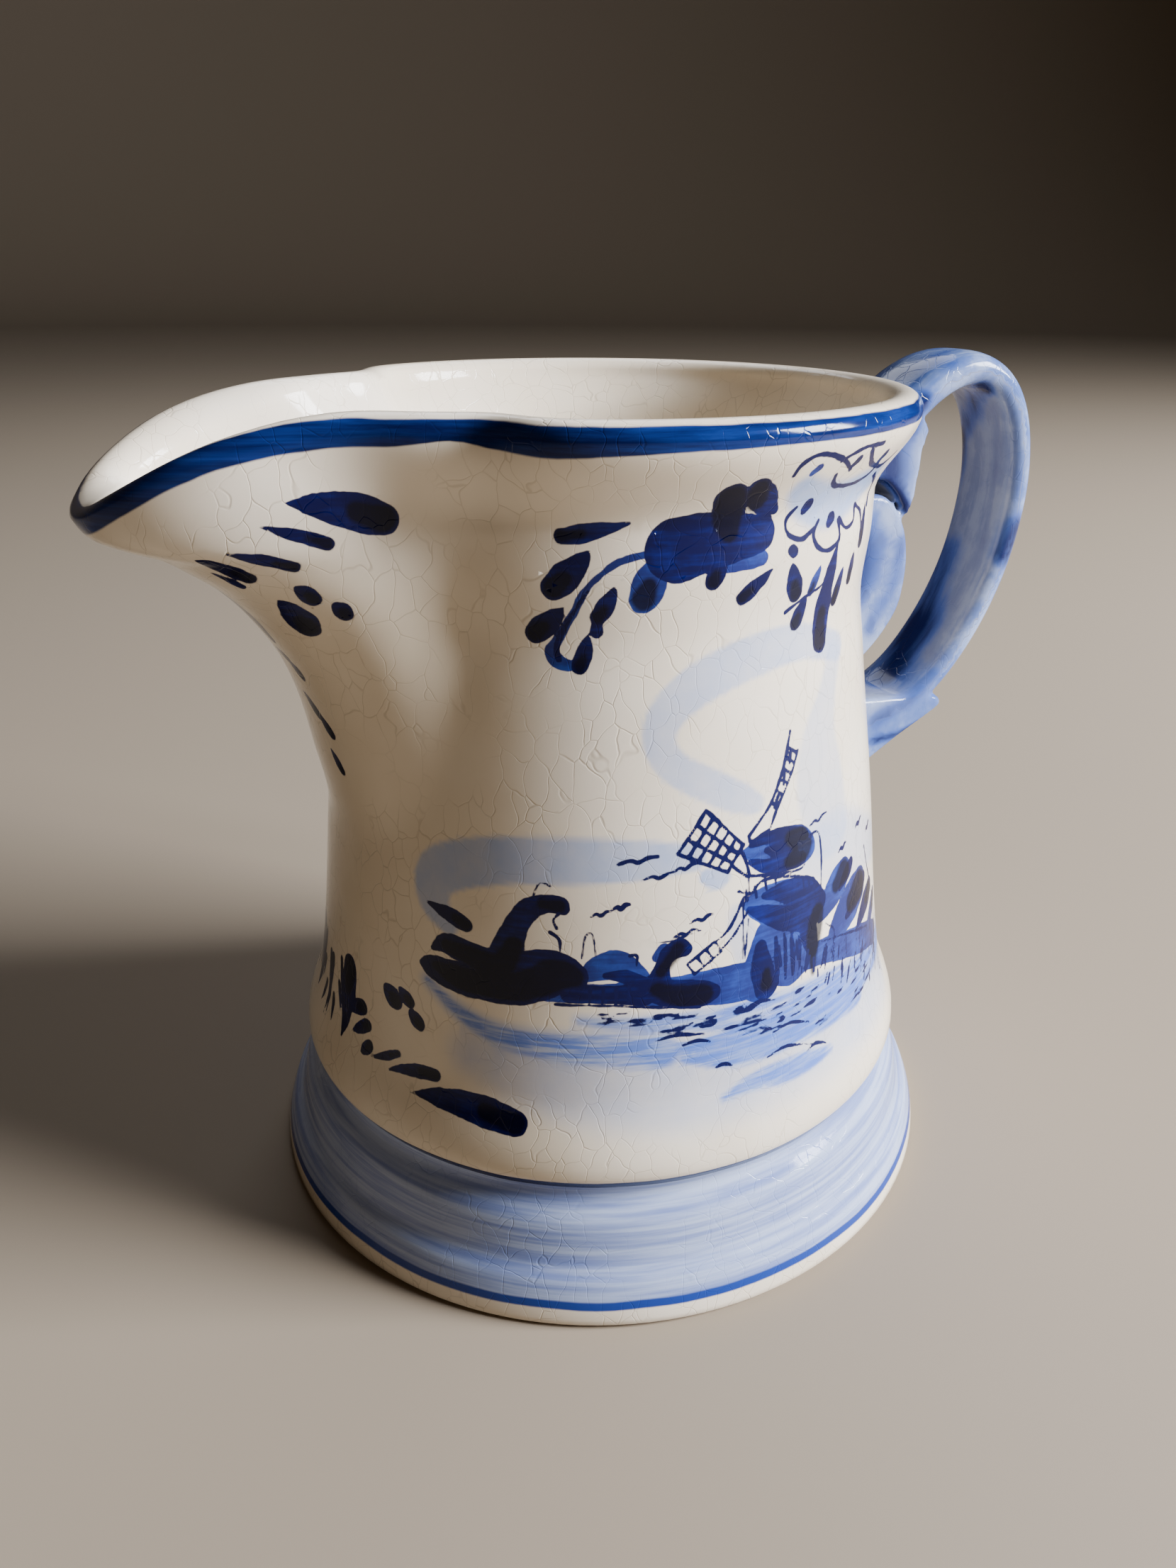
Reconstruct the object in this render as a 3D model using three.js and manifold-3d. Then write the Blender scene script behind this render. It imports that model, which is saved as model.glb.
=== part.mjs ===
// Delftware milk pitcher: one fired piece, hollow, with a pulled spout and a strap handle.
// Millimetres, +Z up. The origin is the centre of the flat underside.
// The spout points along -X and the handle along +X.

import * as THREE from 'three';
import { mergeVertices } from 'three/addons/utils/BufferGeometryUtils.js';
import Module from 'manifold-3d';

// Wall
const wallThickness = 4.5;
const floorThickness = 5;
const floorFillet = 6;

// Foot: each rise is measured from the station below it
const footRadius = 50;
const footChamfer = 0.6;
const footRollRise = 5.6;
const footRollRadius = 48.5;
const footGrooveRise = 1.2;
const footGrooveRadius = 47.4;
const footBandRise = 5.8;
const footBandRadius = 45.7;
const coveRise = 3.2;
const coveRadius = 43.6;
const beadRise = 3.6;
const beadRadius = 45.1;

// Body, neck and rim
const skirtRise = 10;
const skirtRadius = 42.15;
const bellyRise = 27.7;
const bellyRadius = 38.5;
const wallRise = 20.3;
const wallRadius = 35.65;
const waistRise = 7.5;
const waistRadius = 34.8;
const neckRise = 8.5;
const neckRadius = 35.45;
const flareRise = 3.5;
const rimRise = 9.9;
const rimRadius = 40.4;
const lipRise = 2;

// Spout
const spoutFootHeight = 56;
const spoutReach = 64.2;
const spoutHalfWidth = 19.7;
const spoutBellyHalfWidth = 20.8;
const spoutThroat = 26;
const spoutDroop = 9.8;
const creaseFillet = 5;
const creaseFilletRun = 22;
const creasePinch = 2.8;

// Handle
const strapWidth = 13;
const strapThickness = 5;
const strapRootThickening = 1.8;
const strapEdge = 1.6;
const handleReach = 70.8;
const handleCrest = 2.8;
const heelHeight = 47;

// Heights of the stations, from the table upwards
const rollZ = footChamfer + footRollRise;
const grooveZ = rollZ + footGrooveRise;
const bandZ = grooveZ + footBandRise;
const coveZ = bandZ + coveRise;
const beadZ = coveZ + beadRise;
const skirtZ = beadZ + skirtRise;
const bellyZ = skirtZ + bellyRise;
const wallZ = bellyZ + wallRise;
const waistZ = wallZ + waistRise;
const neckZ = waistZ + neckRise;
const flareZ = neckZ + flareRise;
const rimZ = flareZ + rimRise;
const lipZ = rimZ + lipRise;

// A smooth curve y(x) through rising x stations that never overshoots them
function smoothThrough(points) {
  const xs = points.map((point) => point[0]);
  const ys = points.map((point) => point[1]);
  const last = xs.length - 1;
  const rise = (i) => (ys[i + 1] - ys[i]) / (xs[i + 1] - xs[i]);
  const slopes = xs.map((x, i) => {
    if (i === 0 || i === last || rise(i - 1) * rise(i) <= 0) return 0;
    return (2 * rise(i - 1) * rise(i)) / (rise(i - 1) + rise(i));
  });
  return (x) => {
    if (x <= xs[0]) return ys[0];
    if (x >= xs[last]) return ys[last];
    const i = xs.findIndex((edge) => edge > x) - 1;
    const width = xs[i + 1] - xs[i];
    const t = (x - xs[i]) / width;
    const start = ys[i] * (1 + 2 * t) + slopes[i] * width * t;
    const end = ys[i + 1] * (3 - 2 * t) - slopes[i + 1] * width * (1 - t);
    return start * (1 - t) ** 2 + end * t ** 2;
  };
}

// The round wall: radius at each height
const roundWall = smoothThrough([
  [0, footRadius - footChamfer],
  [footChamfer, footRadius],
  [rollZ, footRollRadius],
  [grooveZ, footGrooveRadius],
  [bandZ, footBandRadius],
  [coveZ, coveRadius],
  [beadZ, beadRadius],
  [skirtZ, skirtRadius],
  [bellyZ, bellyRadius],
  [wallZ, wallRadius],
  [waistZ, waistRadius],
  [neckZ, neckRadius],
  [flareZ, neckRadius],
  [rimZ, rimRadius],
]);

// The spout's keel: how far it stands out, as shares of its own height and reach
const keelShare = smoothThrough([
  [0, 0], [0.2, 0.06], [0.31, 0.1], [0.42, 0.17], [0.53, 0.3], [0.61, 0.44],
  [0.66, 0.575], [0.702, 0.71], [0.726, 0.85], [0.748, 0.934], [0.79, 0.98], [0.84, 1],
]);
const spoutRoot = roundWall(spoutFootHeight);
const keel = (z) =>
  spoutRoot + (spoutReach - spoutRoot) * keelShare((z - spoutFootHeight) / (lipZ - spoutFootHeight));

// The same curve moved inwards by a depth measured square to it
function inset(curve, z, depth) {
  const turns = [-0.9, -0.6, -0.3, 0, 0.3, 0.6, 0.9];
  return Math.min(...turns.map((turn) => curve(z + depth * Math.sin(turn)) - depth * Math.cos(turn)));
}

// Where a ray from the axis leaves the spout's section, a rounded nose at height z
function spoutRadius(angle, z, depth) {
  if (angle > Math.PI / 2.4 || z < spoutFootHeight) return 0;
  const share = THREE.MathUtils.clamp((z - waistZ) / (lipZ - waistZ), 0, 1);
  const halfWidth = THREE.MathUtils.lerp(spoutBellyHalfWidth, spoutHalfWidth, share) - depth;
  const length = inset(keel, z, depth) - spoutThroat;
  const power = THREE.MathUtils.lerp(2, 2.7, share);
  let near = 0;
  let far = spoutReach * 1.5;
  for (let step = 0; step < 40; step += 1) {
    const middle = (near + far) / 2;
    const along = Math.max(middle * Math.cos(angle) - spoutThroat, 0) / length;
    const across = (middle * Math.sin(angle)) / halfWidth;
    if (along ** power + across ** power < 1) near = middle;
    else far = middle;
  }
  return near;
}

// The larger of two radii, with the corner between them filled
function filled(a, b, fillet) {
  const overlap = Math.max(fillet - Math.abs(a - b), 0);
  return Math.max(a, b) + overlap ** 2 / (4 * fillet);
}

// Distance of the skin from the axis; the angle is measured from the spout, depth 0 is outside
const creaseAngle = THREE.MathUtils.degToRad(45);
const creaseSpread = THREE.MathUtils.degToRad(13);
function skinRadius(angle, z, depth) {
  const round = depth > 0 ? inset(roundWall, z, depth) : roundWall(z);
  const flare = THREE.MathUtils.clamp((z - flareZ) / (rimZ - flareZ), 0, 1);
  const pinch = creasePinch * flare * Math.exp(-(((angle - creaseAngle) / creaseSpread) ** 2));
  const growth = THREE.MathUtils.clamp((z - spoutFootHeight) / creaseFilletRun, 0.01, 1);
  return filled(round - pinch, spoutRadius(angle, z, depth), creaseFillet * growth);
}

// Height of the lip's crown, which droops towards the tip of the spout
const droopStart = neckRadius;
function crownHeight(angle) {
  const along = skinRadius(angle, lipZ, 0) * Math.cos(angle);
  const share = Math.max(along - droopStart, 0) / (spoutReach - droopStart);
  return lipZ - spoutDroop * share ** 2.5;
}

// Stations of the closed wall section: up the outside, over the lip, down the inside to the axis
const outerHeights = [
  0, footChamfer, rollZ, grooveZ, (grooveZ + bandZ) / 2, bandZ, coveZ, (coveZ + beadZ) / 2, beadZ,
  THREE.MathUtils.lerp(beadZ, skirtZ, 0.33), THREE.MathUtils.lerp(beadZ, skirtZ, 0.66), skirtZ,
  THREE.MathUtils.lerp(skirtZ, bellyZ, 0.5), bellyZ, THREE.MathUtils.lerp(bellyZ, wallZ, 0.3),
  THREE.MathUtils.lerp(bellyZ, wallZ, 0.6), wallZ, THREE.MathUtils.lerp(wallZ, waistZ, 0.5), waistZ,
  THREE.MathUtils.lerp(waistZ, neckZ, 0.5), neckZ, flareZ, THREE.MathUtils.lerp(flareZ, rimZ, 0.3),
  THREE.MathUtils.lerp(flareZ, rimZ, 0.55), THREE.MathUtils.lerp(flareZ, rimZ, 0.8), rimZ,
];
const lipTurns = [0.2, 0.4, 0.6, 0.8];
const innerHeights = [
  rimZ, THREE.MathUtils.lerp(flareZ, rimZ, 0.6), THREE.MathUtils.lerp(flareZ, rimZ, 0.25),
  neckZ, waistZ, wallZ, THREE.MathUtils.lerp(bellyZ, wallZ, 0.6), THREE.MathUtils.lerp(bellyZ, wallZ, 0.3),
  bellyZ, skirtZ, THREE.MathUtils.lerp(beadZ, skirtZ, 0.4), beadZ, coveZ, bandZ,
  floorThickness + floorFillet,
];
const filletTurns = [0.35, 0.7, 1];
const section = [
  { kind: 'axis', z: 0 },
  ...outerHeights.map((z) => ({ kind: 'skin', z, depth: 0 })),
  ...lipTurns.map((turn) => ({ kind: 'lip', turn: turn * Math.PI })),
  ...innerHeights.map((z) => ({ kind: 'skin', z, depth: wallThickness })),
  ...filletTurns.map((turn) => ({ kind: 'fillet', turn: turn * (Math.PI / 2) })),
  { kind: 'axis', z: floorThickness },
];

// One point of the wall, as distance from the axis and height
function wallPoint(station, angle) {
  if (station.kind === 'axis') return [0, station.z];
  if (station.kind === 'fillet') {
    const start = skinRadius(angle, floorThickness + floorFillet, wallThickness);
    const across = floorFillet * (1 - Math.cos(station.turn));
    return [start - across, floorThickness + floorFillet * (1 - Math.sin(station.turn))];
  }
  const squeeze = (crownHeight(angle) - lipRise - spoutFootHeight) / (rimZ - spoutFootHeight);
  const lowered = (z) => (z > spoutFootHeight ? spoutFootHeight + (z - spoutFootHeight) * squeeze : z);
  if (station.kind === 'lip') {
    const z = lowered(rimZ);
    const across = (1 - Math.cos(station.turn)) / 2;
    const outer = skinRadius(angle, z, 0);
    const inner = skinRadius(angle, z, wallThickness);
    return [THREE.MathUtils.lerp(outer, inner, across), z + lipRise * Math.sin(station.turn)];
  }
  const z = lowered(station.z);
  return [skinRadius(angle, z, station.depth), z];
}

// Columns around the wall, closer together on the spout; angles are measured from its tip
function columnAngles() {
  const half = [];
  for (let degrees = 0; degrees < 10; degrees += 2.5) half.push(degrees);
  for (let degrees = 10; degrees < 34; degrees += 2) half.push(degrees);
  for (let degrees = 34; degrees < 62; degrees += 3.5) half.push(degrees);
  for (let degrees = 62; degrees < 180; degrees += 118 / 16) half.push(degrees);
  const mirrored = half.slice(1).reverse().map((degrees) => 360 - degrees);
  return [...half, 180, ...mirrored].map((degrees) => THREE.MathUtils.degToRad(degrees));
}

function wallGeometry() {
  const columns = columnAngles();
  const rows = section.map((station) => new THREE.Vector2(station.kind === 'axis' ? 0 : 1, 0));
  const geometry = new THREE.LatheGeometry(rows, columns.length);
  const spoutTurn = -Math.PI / 2;
  for (let column = 0; column <= columns.length; column += 1) {
    const turn = columns[column % columns.length];
    const angle = Math.min(turn, 2 * Math.PI - turn);
    section.forEach((station, row) => {
      const [radius, z] = wallPoint(station, angle);
      const x = radius * Math.sin(spoutTurn + turn);
      const depth = radius * Math.cos(spoutTurn + turn);
      geometry.attributes.position.setXYZ(column * section.length + row, x, z, depth);
    });
  }
  return geometry.rotateX(Math.PI / 2);
}

// A flat outline in the handle's plane, given breadth along Y with rounded edges
function slab(outline, breadth, edge) {
  const geometry = new THREE.ExtrudeGeometry(new THREE.Shape(outline), {
    depth: breadth - 2 * edge,
    bevelEnabled: true,
    bevelThickness: edge,
    bevelSize: edge,
    bevelOffset: -edge,
    bevelSegments: 2,
    curveSegments: 1,
  });
  return geometry.translate(0, 0, edge - breadth / 2).rotateX(Math.PI / 2);
}

// A point of the handle as shares of its own reach and height
const handleFace = waistRadius;
const handleTop = lipZ + handleCrest;
function handlePoint([across, up]) {
  const x = handleFace + across * (handleReach - handleFace);
  return new THREE.Vector2(x, heelHeight + up * (handleTop - heelHeight));
}

// The strap's middle line, from inside the wall under the rim to the heel
const strapPath = new THREE.SplineCurve([
  [-0.1, 0.84], [0.22, 0.857], [0.34, 0.892], [0.43, 0.926], [0.53, 0.951], [0.64, 0.96],
  [0.74, 0.942], [0.82, 0.905], [0.88, 0.848], [0.917, 0.775], [0.93, 0.695], [0.918, 0.615],
  [0.886, 0.53], [0.835, 0.45], [0.76, 0.37], [0.667, 0.297], [0.565, 0.238], [0.44, 0.193],
  [0.28, 0.163], [-0.1, 0.14],
].map(handlePoint));

function strapOutline() {
  const steps = 34;
  const side = (sign) => Array.from({ length: steps + 1 }, (unused, step) => {
    const along = step / steps;
    const half = (strapThickness + strapRootThickening * Math.max(1 - along * 4, 0)) / 2;
    const tangent = strapPath.getTangent(along);
    return strapPath.getPoint(along).add(new THREE.Vector2(-tangent.y, tangent.x).multiplyScalar(sign * half));
  });
  return [...side(-1), ...side(1).reverse()];
}

// The strap's upper end hangs down as a pointed tail under the rim
const tailTipShare = 0.055;
const tailOutline = [
  [-0.1, 0.87], [0.25, 0.88], [0.385, 0.85], [0.368, 0.79], [0.362, 0.735], [0.35, 0.69], [0.32, 0.657],
  [0.35 - tailTipShare, 0.682], [0.24, 0.72], [0.16, 0.742], [-0.1, 0.765],
].map(handlePoint);

// A scroll lies against the wall below the tail
const scrollOutline = [
  [-0.1, 0.72], [0.17, 0.717], [0.255, 0.702], [0.315, 0.66], [0.352, 0.6], [0.362, 0.53],
  [0.336, 0.452], [0.272, 0.392], [0.192, 0.345], [0.1, 0.31], [-0.1, 0.26],
].map(handlePoint);

// The heel's tongue carries the strap's lower end
const tongueTipShare = 0.03;
const tongueOutline = [
  [-0.1, 0.24], [0.45, 0.215], [0.575, 0.206], [0.615, 0.17 + tongueTipShare], [0.628, 0.184], [0.606, 0.17],
  [0.52, 0.145], [0.4, 0.112], [0.28, 0.075], [0.16, 0.036], [0.08, 0.008], [-0.1, -0.06],
].map(handlePoint);

// The space inside the middle of the wall, which nothing of the handle may enter
function innerPlug() {
  const heights = [...outerHeights, lipZ + handleCrest * 2];
  const skin = heights.map((z) => new THREE.Vector2(roundWall(z) - wallThickness / 2, z));
  const profile = [new THREE.Vector2(0, 0), ...skin, new THREE.Vector2(0, heights[heights.length - 1])];
  return new THREE.LatheGeometry(profile, 64).rotateX(Math.PI / 2);
}

const wasm = await Module();
wasm.setup();

function solid(geometry) {
  const bare = geometry.clone();
  bare.deleteAttribute('normal');
  bare.deleteAttribute('uv');
  const merged = mergeVertices(bare, 1e-4);
  return new wasm.Manifold(new wasm.Mesh({
    numProp: 3,
    vertProperties: new Float32Array(merged.attributes.position.array),
    triVerts: new Uint32Array(merged.index.array),
  }));
}

function geometryOf(manifold) {
  const mesh = manifold.getMesh();
  const geometry = new THREE.BufferGeometry();
  geometry.setAttribute('position', new THREE.BufferAttribute(new Float32Array(mesh.vertProperties), 3));
  geometry.setIndex(new THREE.BufferAttribute(new Uint32Array(mesh.triVerts), 1));
  geometry.computeVertexNormals();
  return geometry;
}

function pitcherGeometry() {
  const tipEdge = (tipWidth) => Math.min(strapEdge * 0.6, tipWidth * 0.45);
  const tailEdge = tipEdge((handleReach - handleFace) * tailTipShare);
  const tongueEdge = tipEdge((handleTop - heelHeight) * tongueTipShare);
  const handle = solid(slab(strapOutline(), strapWidth, strapEdge))
    .add(solid(slab(tailOutline, strapWidth, tailEdge)))
    .add(solid(slab(scrollOutline, strapWidth, strapEdge)))
    .add(solid(slab(tongueOutline, strapWidth, tongueEdge)))
    .subtract(solid(innerPlug()));
  return geometryOf(solid(wallGeometry()).add(handle));
}

const glazedEarthenware = new THREE.MeshStandardMaterial({
  color: 0xebe4d7,
  roughness: 0.12,
  metalness: 0,
});

const pitcher = new THREE.Mesh(pitcherGeometry(), glazedEarthenware);
pitcher.name = 'pitcher';

const group = new THREE.Group();
group.add(pitcher);

export default group;
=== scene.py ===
"""Delftware milk pitcher: one fired piece of glazed earthenware, painted by hand in cobalt blue.

Sizes in the classes are in millimetres and angles in degrees, because the painting is laid out on the
real surface. Each mesh is scaled to metres when it is handed to Blender. Angles run round the body
from the handle at 0 over the far side to the spout at 180 and back along the painted side.
"""
import logging
import math
import random
from dataclasses import dataclass, field
from enum import Enum
from typing import Callable, Sequence

import bmesh
import bpy
import numpy as np
from mathutils import Matrix, Vector


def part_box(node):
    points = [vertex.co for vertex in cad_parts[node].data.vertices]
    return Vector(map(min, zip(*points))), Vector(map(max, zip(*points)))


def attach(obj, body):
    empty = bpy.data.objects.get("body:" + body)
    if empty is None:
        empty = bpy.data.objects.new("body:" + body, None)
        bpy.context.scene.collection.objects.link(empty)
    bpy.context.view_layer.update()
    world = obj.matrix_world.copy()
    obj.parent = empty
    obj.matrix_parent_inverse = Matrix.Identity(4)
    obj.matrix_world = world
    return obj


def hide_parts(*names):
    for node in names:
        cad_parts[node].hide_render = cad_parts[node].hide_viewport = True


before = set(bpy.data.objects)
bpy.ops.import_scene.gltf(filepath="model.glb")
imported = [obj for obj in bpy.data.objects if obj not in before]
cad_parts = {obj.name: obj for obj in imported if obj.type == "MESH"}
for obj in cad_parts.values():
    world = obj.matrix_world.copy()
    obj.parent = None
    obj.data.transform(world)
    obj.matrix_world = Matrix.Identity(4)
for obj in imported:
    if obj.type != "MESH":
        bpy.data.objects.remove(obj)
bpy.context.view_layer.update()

MM = 0.001
log = logging.getLogger("pitcher")

Curve = Callable[[np.ndarray], np.ndarray]
PathPoint = tuple[float, float, float]


def smooth_through(points: Sequence[tuple[float, float]]) -> Curve:
    """Make a smooth curve y(x) through rising x stations that never overshoots them.

    Args:
        points: The stations, as pairs of x and y.

    Returns:
        A function that takes an array of x and gives the array of y.
    """
    xs, ys = (np.array(values, float) for values in zip(*points))
    rise = np.diff(ys) / np.diff(xs)
    product = rise[:-1] * rise[1:]
    slopes = np.zeros(len(xs))
    slopes[1:-1] = np.where(product > 0, 2 * product / np.where(product > 0, rise[:-1] + rise[1:], 1), 0)

    def curve(x: np.ndarray) -> np.ndarray:
        """Give the curve's height at each x."""
        x = np.clip(x, xs[0], xs[-1])
        i = np.clip(np.searchsorted(xs, x, side="right") - 1, 0, len(xs) - 2)
        width = xs[i + 1] - xs[i]
        t = (x - xs[i]) / width
        start = ys[i] * (1 + 2 * t) + slopes[i] * width * t
        end = ys[i + 1] * (3 - 2 * t) - slopes[i + 1] * width * (1 - t)
        return start * (1 - t) ** 2 + end * t ** 2

    return curve


def spline(points: Sequence[Sequence[float]], count: int) -> np.ndarray:
    """Sample a Catmull-Rom curve through points.

    Args:
        points: The points that the curve passes through, each with as many numbers as wanted.
        count: How many samples to take, both ends included.

    Returns:
        The samples, one row each.
    """
    knots = np.array(points, float)
    padded = np.vstack([knots[:1], knots, knots[-1:]])
    position = np.linspace(0, len(knots) - 1, count)
    i = np.minimum(position.astype(int), len(knots) - 2)
    t = (position - i)[:, None]
    a, b, c, d = (padded[i + k] for k in range(4))
    square = 2 * a - 5 * b + 4 * c - d
    cube = 3 * b - a - 3 * c + d
    return 0.5 * (2 * b + (c - a) * t + square * t ** 2 + cube * t ** 3)


def ramp(x: np.ndarray, low: float, high: float) -> np.ndarray:
    """Rise smoothly from 0 at low to 1 at high."""
    t = np.clip((x - low) / (high - low), 0, 1)
    return t * t * (3 - 2 * t)


@dataclass
class JugForm:
    """The jug's skin: how far the wall stands from the axis at each angle from the spout and height."""

    wall: float = 4.5
    floor: float = 5.0
    floor_fillet: float = 6.0
    stations: tuple[tuple[float, float], ...] = (
        (0, 49.4), (0.6, 50), (6.2, 48.5), (7.4, 47.4), (13.2, 45.7), (16.4, 43.6), (20, 45.1), (30, 42.15),
        (57.7, 38.5), (78, 35.65), (85.5, 34.8), (94, 35.45), (97.5, 35.45), (107.4, 40.4),
    )
    waist_z: float = 85.5
    flare_z: float = 97.5
    rim_z: float = 107.4
    lip_rise: float = 2.0
    neck_radius: float = 35.45
    spout_foot: float = 56.0
    spout_reach: float = 64.2
    spout_half_width: float = 19.7
    spout_belly_half_width: float = 20.8
    spout_throat: float = 26.0
    spout_droop: float = 9.8
    droop_power: float = 2.5
    keel_shares: tuple[tuple[float, float], ...] = (
        (0, 0), (0.2, 0.06), (0.31, 0.1), (0.42, 0.17), (0.53, 0.3), (0.61, 0.44),
        (0.66, 0.575), (0.702, 0.71), (0.726, 0.85), (0.748, 0.934), (0.79, 0.98), (0.84, 1),
    )
    crease_fillet: float = 3.4
    crease_fillet_run: float = 22.0
    crease_web: float = 6.6
    crease_web_z: float = 86.0
    crease_pinch: float = 3.2
    crease_angle: float = 46.0
    crease_spread: float = 9.0
    spout_sector: float = 75.0
    round_wall: Curve = field(init=False)
    keel_share: Curve = field(init=False)

    def __post_init__(self) -> None:
        """Prepare the two curves that everything else reads."""
        self.round_wall = smooth_through(self.stations)
        self.keel_share = smooth_through(self.keel_shares)

    @property
    def lip_z(self) -> float:
        """Height of the lip's crown away from the spout."""
        return self.rim_z + self.lip_rise

    def keel(self, z: np.ndarray) -> np.ndarray:
        """Give the reach of the spout's lower edge line at each height."""
        root = float(self.round_wall(np.array(self.spout_foot)))
        share = self.keel_share((z - self.spout_foot) / (self.lip_z - self.spout_foot))
        return root + (self.spout_reach - root) * share

    def inset(self, curve: Curve, z: np.ndarray, depth: float) -> np.ndarray:
        """Move a wall curve inwards by a depth measured square to it.

        Args:
            curve: Distances from the axis by height.
            z: Heights.
            depth: How far to move it.

        Returns:
            The moved distances.
        """
        if depth == 0:
            return curve(z)
        turns = (-0.9, -0.6, -0.3, 0, 0.3, 0.6, 0.9)
        return np.min([curve(z + depth * math.sin(turn)) - depth * math.cos(turn) for turn in turns], axis=0)

    def spout_radius(self, angle: np.ndarray, z: np.ndarray, depth: float) -> np.ndarray:
        """Find where a ray from the axis leaves the spout's section, a rounded nose.

        Args:
            angle: Angles from the spout's tip, in radians.
            z: Heights.
            depth: How far inside the outer skin.

        Returns:
            Distances from the axis, 0 where there is no spout.
        """
        share = np.clip((z - self.waist_z) / (self.lip_z - self.waist_z), 0, 1)
        half_width = self.spout_belly_half_width * (1 - share) + self.spout_half_width * share - depth
        length = self.inset(self.keel, z, depth) - self.spout_throat
        power = 2 + 0.7 * share
        near = np.zeros(np.shape(z))
        far = np.full(np.shape(z), self.spout_reach * 1.5)
        for _ in range(30):
            middle = (near + far) / 2
            along = np.maximum(middle * np.cos(angle) - self.spout_throat, 0) / length
            across = middle * np.abs(np.sin(angle)) / half_width
            inside = along ** power + across ** power < 1
            near = np.where(inside, middle, near)
            far = np.where(inside, far, middle)
        return np.where((angle <= math.radians(self.spout_sector)) & (z >= self.spout_foot), near, 0)

    def skin(self, angle: np.ndarray, z: np.ndarray, depth: float = 0) -> np.ndarray:
        """Give the wall's distance from the axis.

        Args:
            angle: Angles from the spout's tip, in radians.
            z: Heights.
            depth: 0 for the outer skin, the wall's thickness for the inner one.

        Returns:
            Distances from the axis.
        """
        flare = np.clip((z - self.flare_z) / (self.rim_z - self.flare_z), 0, 1)
        offset = (np.degrees(angle) - self.crease_angle) / self.crease_spread
        body = self.inset(self.round_wall, z, depth) - self.crease_pinch * flare * np.exp(-offset ** 2)
        spout = self.spout_radius(angle, z, depth)
        web = np.clip((z - self.crease_web_z) / (self.rim_z - self.crease_web_z), 0, 1)
        fillet = self.crease_fillet * np.clip((z - self.spout_foot) / self.crease_fillet_run, 0.01, 1)
        fillet = fillet + self.crease_web * web
        overlap = np.maximum(fillet - np.abs(body - spout), 0)
        return np.maximum(body, spout) + overlap ** 2 / (4 * fillet)

    def crown(self, angle: np.ndarray) -> np.ndarray:
        """Give the height of the lip's crown, which droops towards the tip of the spout."""
        along = self.skin(angle, np.full(np.shape(angle), self.lip_z)) * np.cos(angle)
        share = np.maximum(along - self.neck_radius, 0) / (self.spout_reach - self.neck_radius)
        return self.lip_z - self.spout_droop * share ** self.droop_power

    def lowered(self, angle: np.ndarray, z: np.ndarray) -> np.ndarray:
        """Squeeze heights above the spout's foot so that the wall ends under the drooping lip."""
        squeeze = (self.crown(angle) - self.lip_rise - self.spout_foot) / (self.rim_z - self.spout_foot)
        return np.where(z > self.spout_foot, self.spout_foot + (z - self.spout_foot) * squeeze, z)


def polar(points: np.ndarray) -> tuple[np.ndarray, np.ndarray, np.ndarray]:
    """Split points into the angle from the spout's tip in radians, the radius and the height."""
    angle = np.abs(np.arctan2(points[:, 1], -points[:, 0]))
    return angle, np.hypot(points[:, 0], points[:, 1]), points[:, 2]


def vertex_array(bm: bmesh.types.BMesh) -> np.ndarray:
    """Copy a bmesh's vertex places into an array."""
    return np.array([vert.co[:] for vert in bm.verts], float)


def place_vertices(bm: bmesh.types.BMesh, points: np.ndarray) -> None:
    """Move a bmesh's vertices to the rows of an array."""
    for vert, point in zip(bm.verts, points):
        vert.co = point


def smooth(bm: bmesh.types.BMesh, verts: Sequence[bmesh.types.BMVert], rounds: int) -> None:
    """Draw vertices halfway towards their neighbours' middle, a few times over."""
    for _ in range(rounds):
        bmesh.ops.smooth_vert(bm, verts=verts, factor=0.5, use_axis_x=True, use_axis_y=True, use_axis_z=True)


def split_large_faces(bm: bmesh.types.BMesh, corners: int = 3) -> None:
    """Cut faces with more than a number of corners into triangles."""
    bmesh.ops.triangulate(bm, faces=[face for face in bm.faces if len(face.verts) > corners])


def mesh_object(name: str, bm: bmesh.types.BMesh) -> bpy.types.Object:
    """Turn a bmesh in millimetres into a smooth-shaded object in metres, and free the bmesh."""
    bmesh.ops.scale(bm, vec=(MM, MM, MM), verts=bm.verts)
    mesh = bpy.data.meshes.new(name)
    bm.to_mesh(mesh)
    bm.free()
    mesh.polygons.foreach_set("use_smooth", [True] * len(mesh.polygons))
    piece = bpy.data.objects.new(name, mesh)
    bpy.context.scene.collection.objects.link(piece)
    return piece


def apply_modifiers(piece: bpy.types.Object) -> None:
    """Bake an object's modifiers into its mesh."""
    bpy.context.view_layer.update()
    evaluated = piece.evaluated_get(bpy.context.evaluated_depsgraph_get())
    mesh = bpy.data.meshes.new_from_object(evaluated)
    piece.modifiers.clear()
    piece.data = mesh


def bmesh_in_mm(piece: bpy.types.Object) -> bmesh.types.BMesh:
    """Open an object's mesh as a bmesh in millimetres, and remove the object."""
    bm = bmesh.new()
    bm.from_mesh(piece.data)
    bmesh.ops.scale(bm, vec=(1 / MM, 1 / MM, 1 / MM), verts=bm.verts)
    bpy.data.objects.remove(piece)
    return bm


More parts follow.
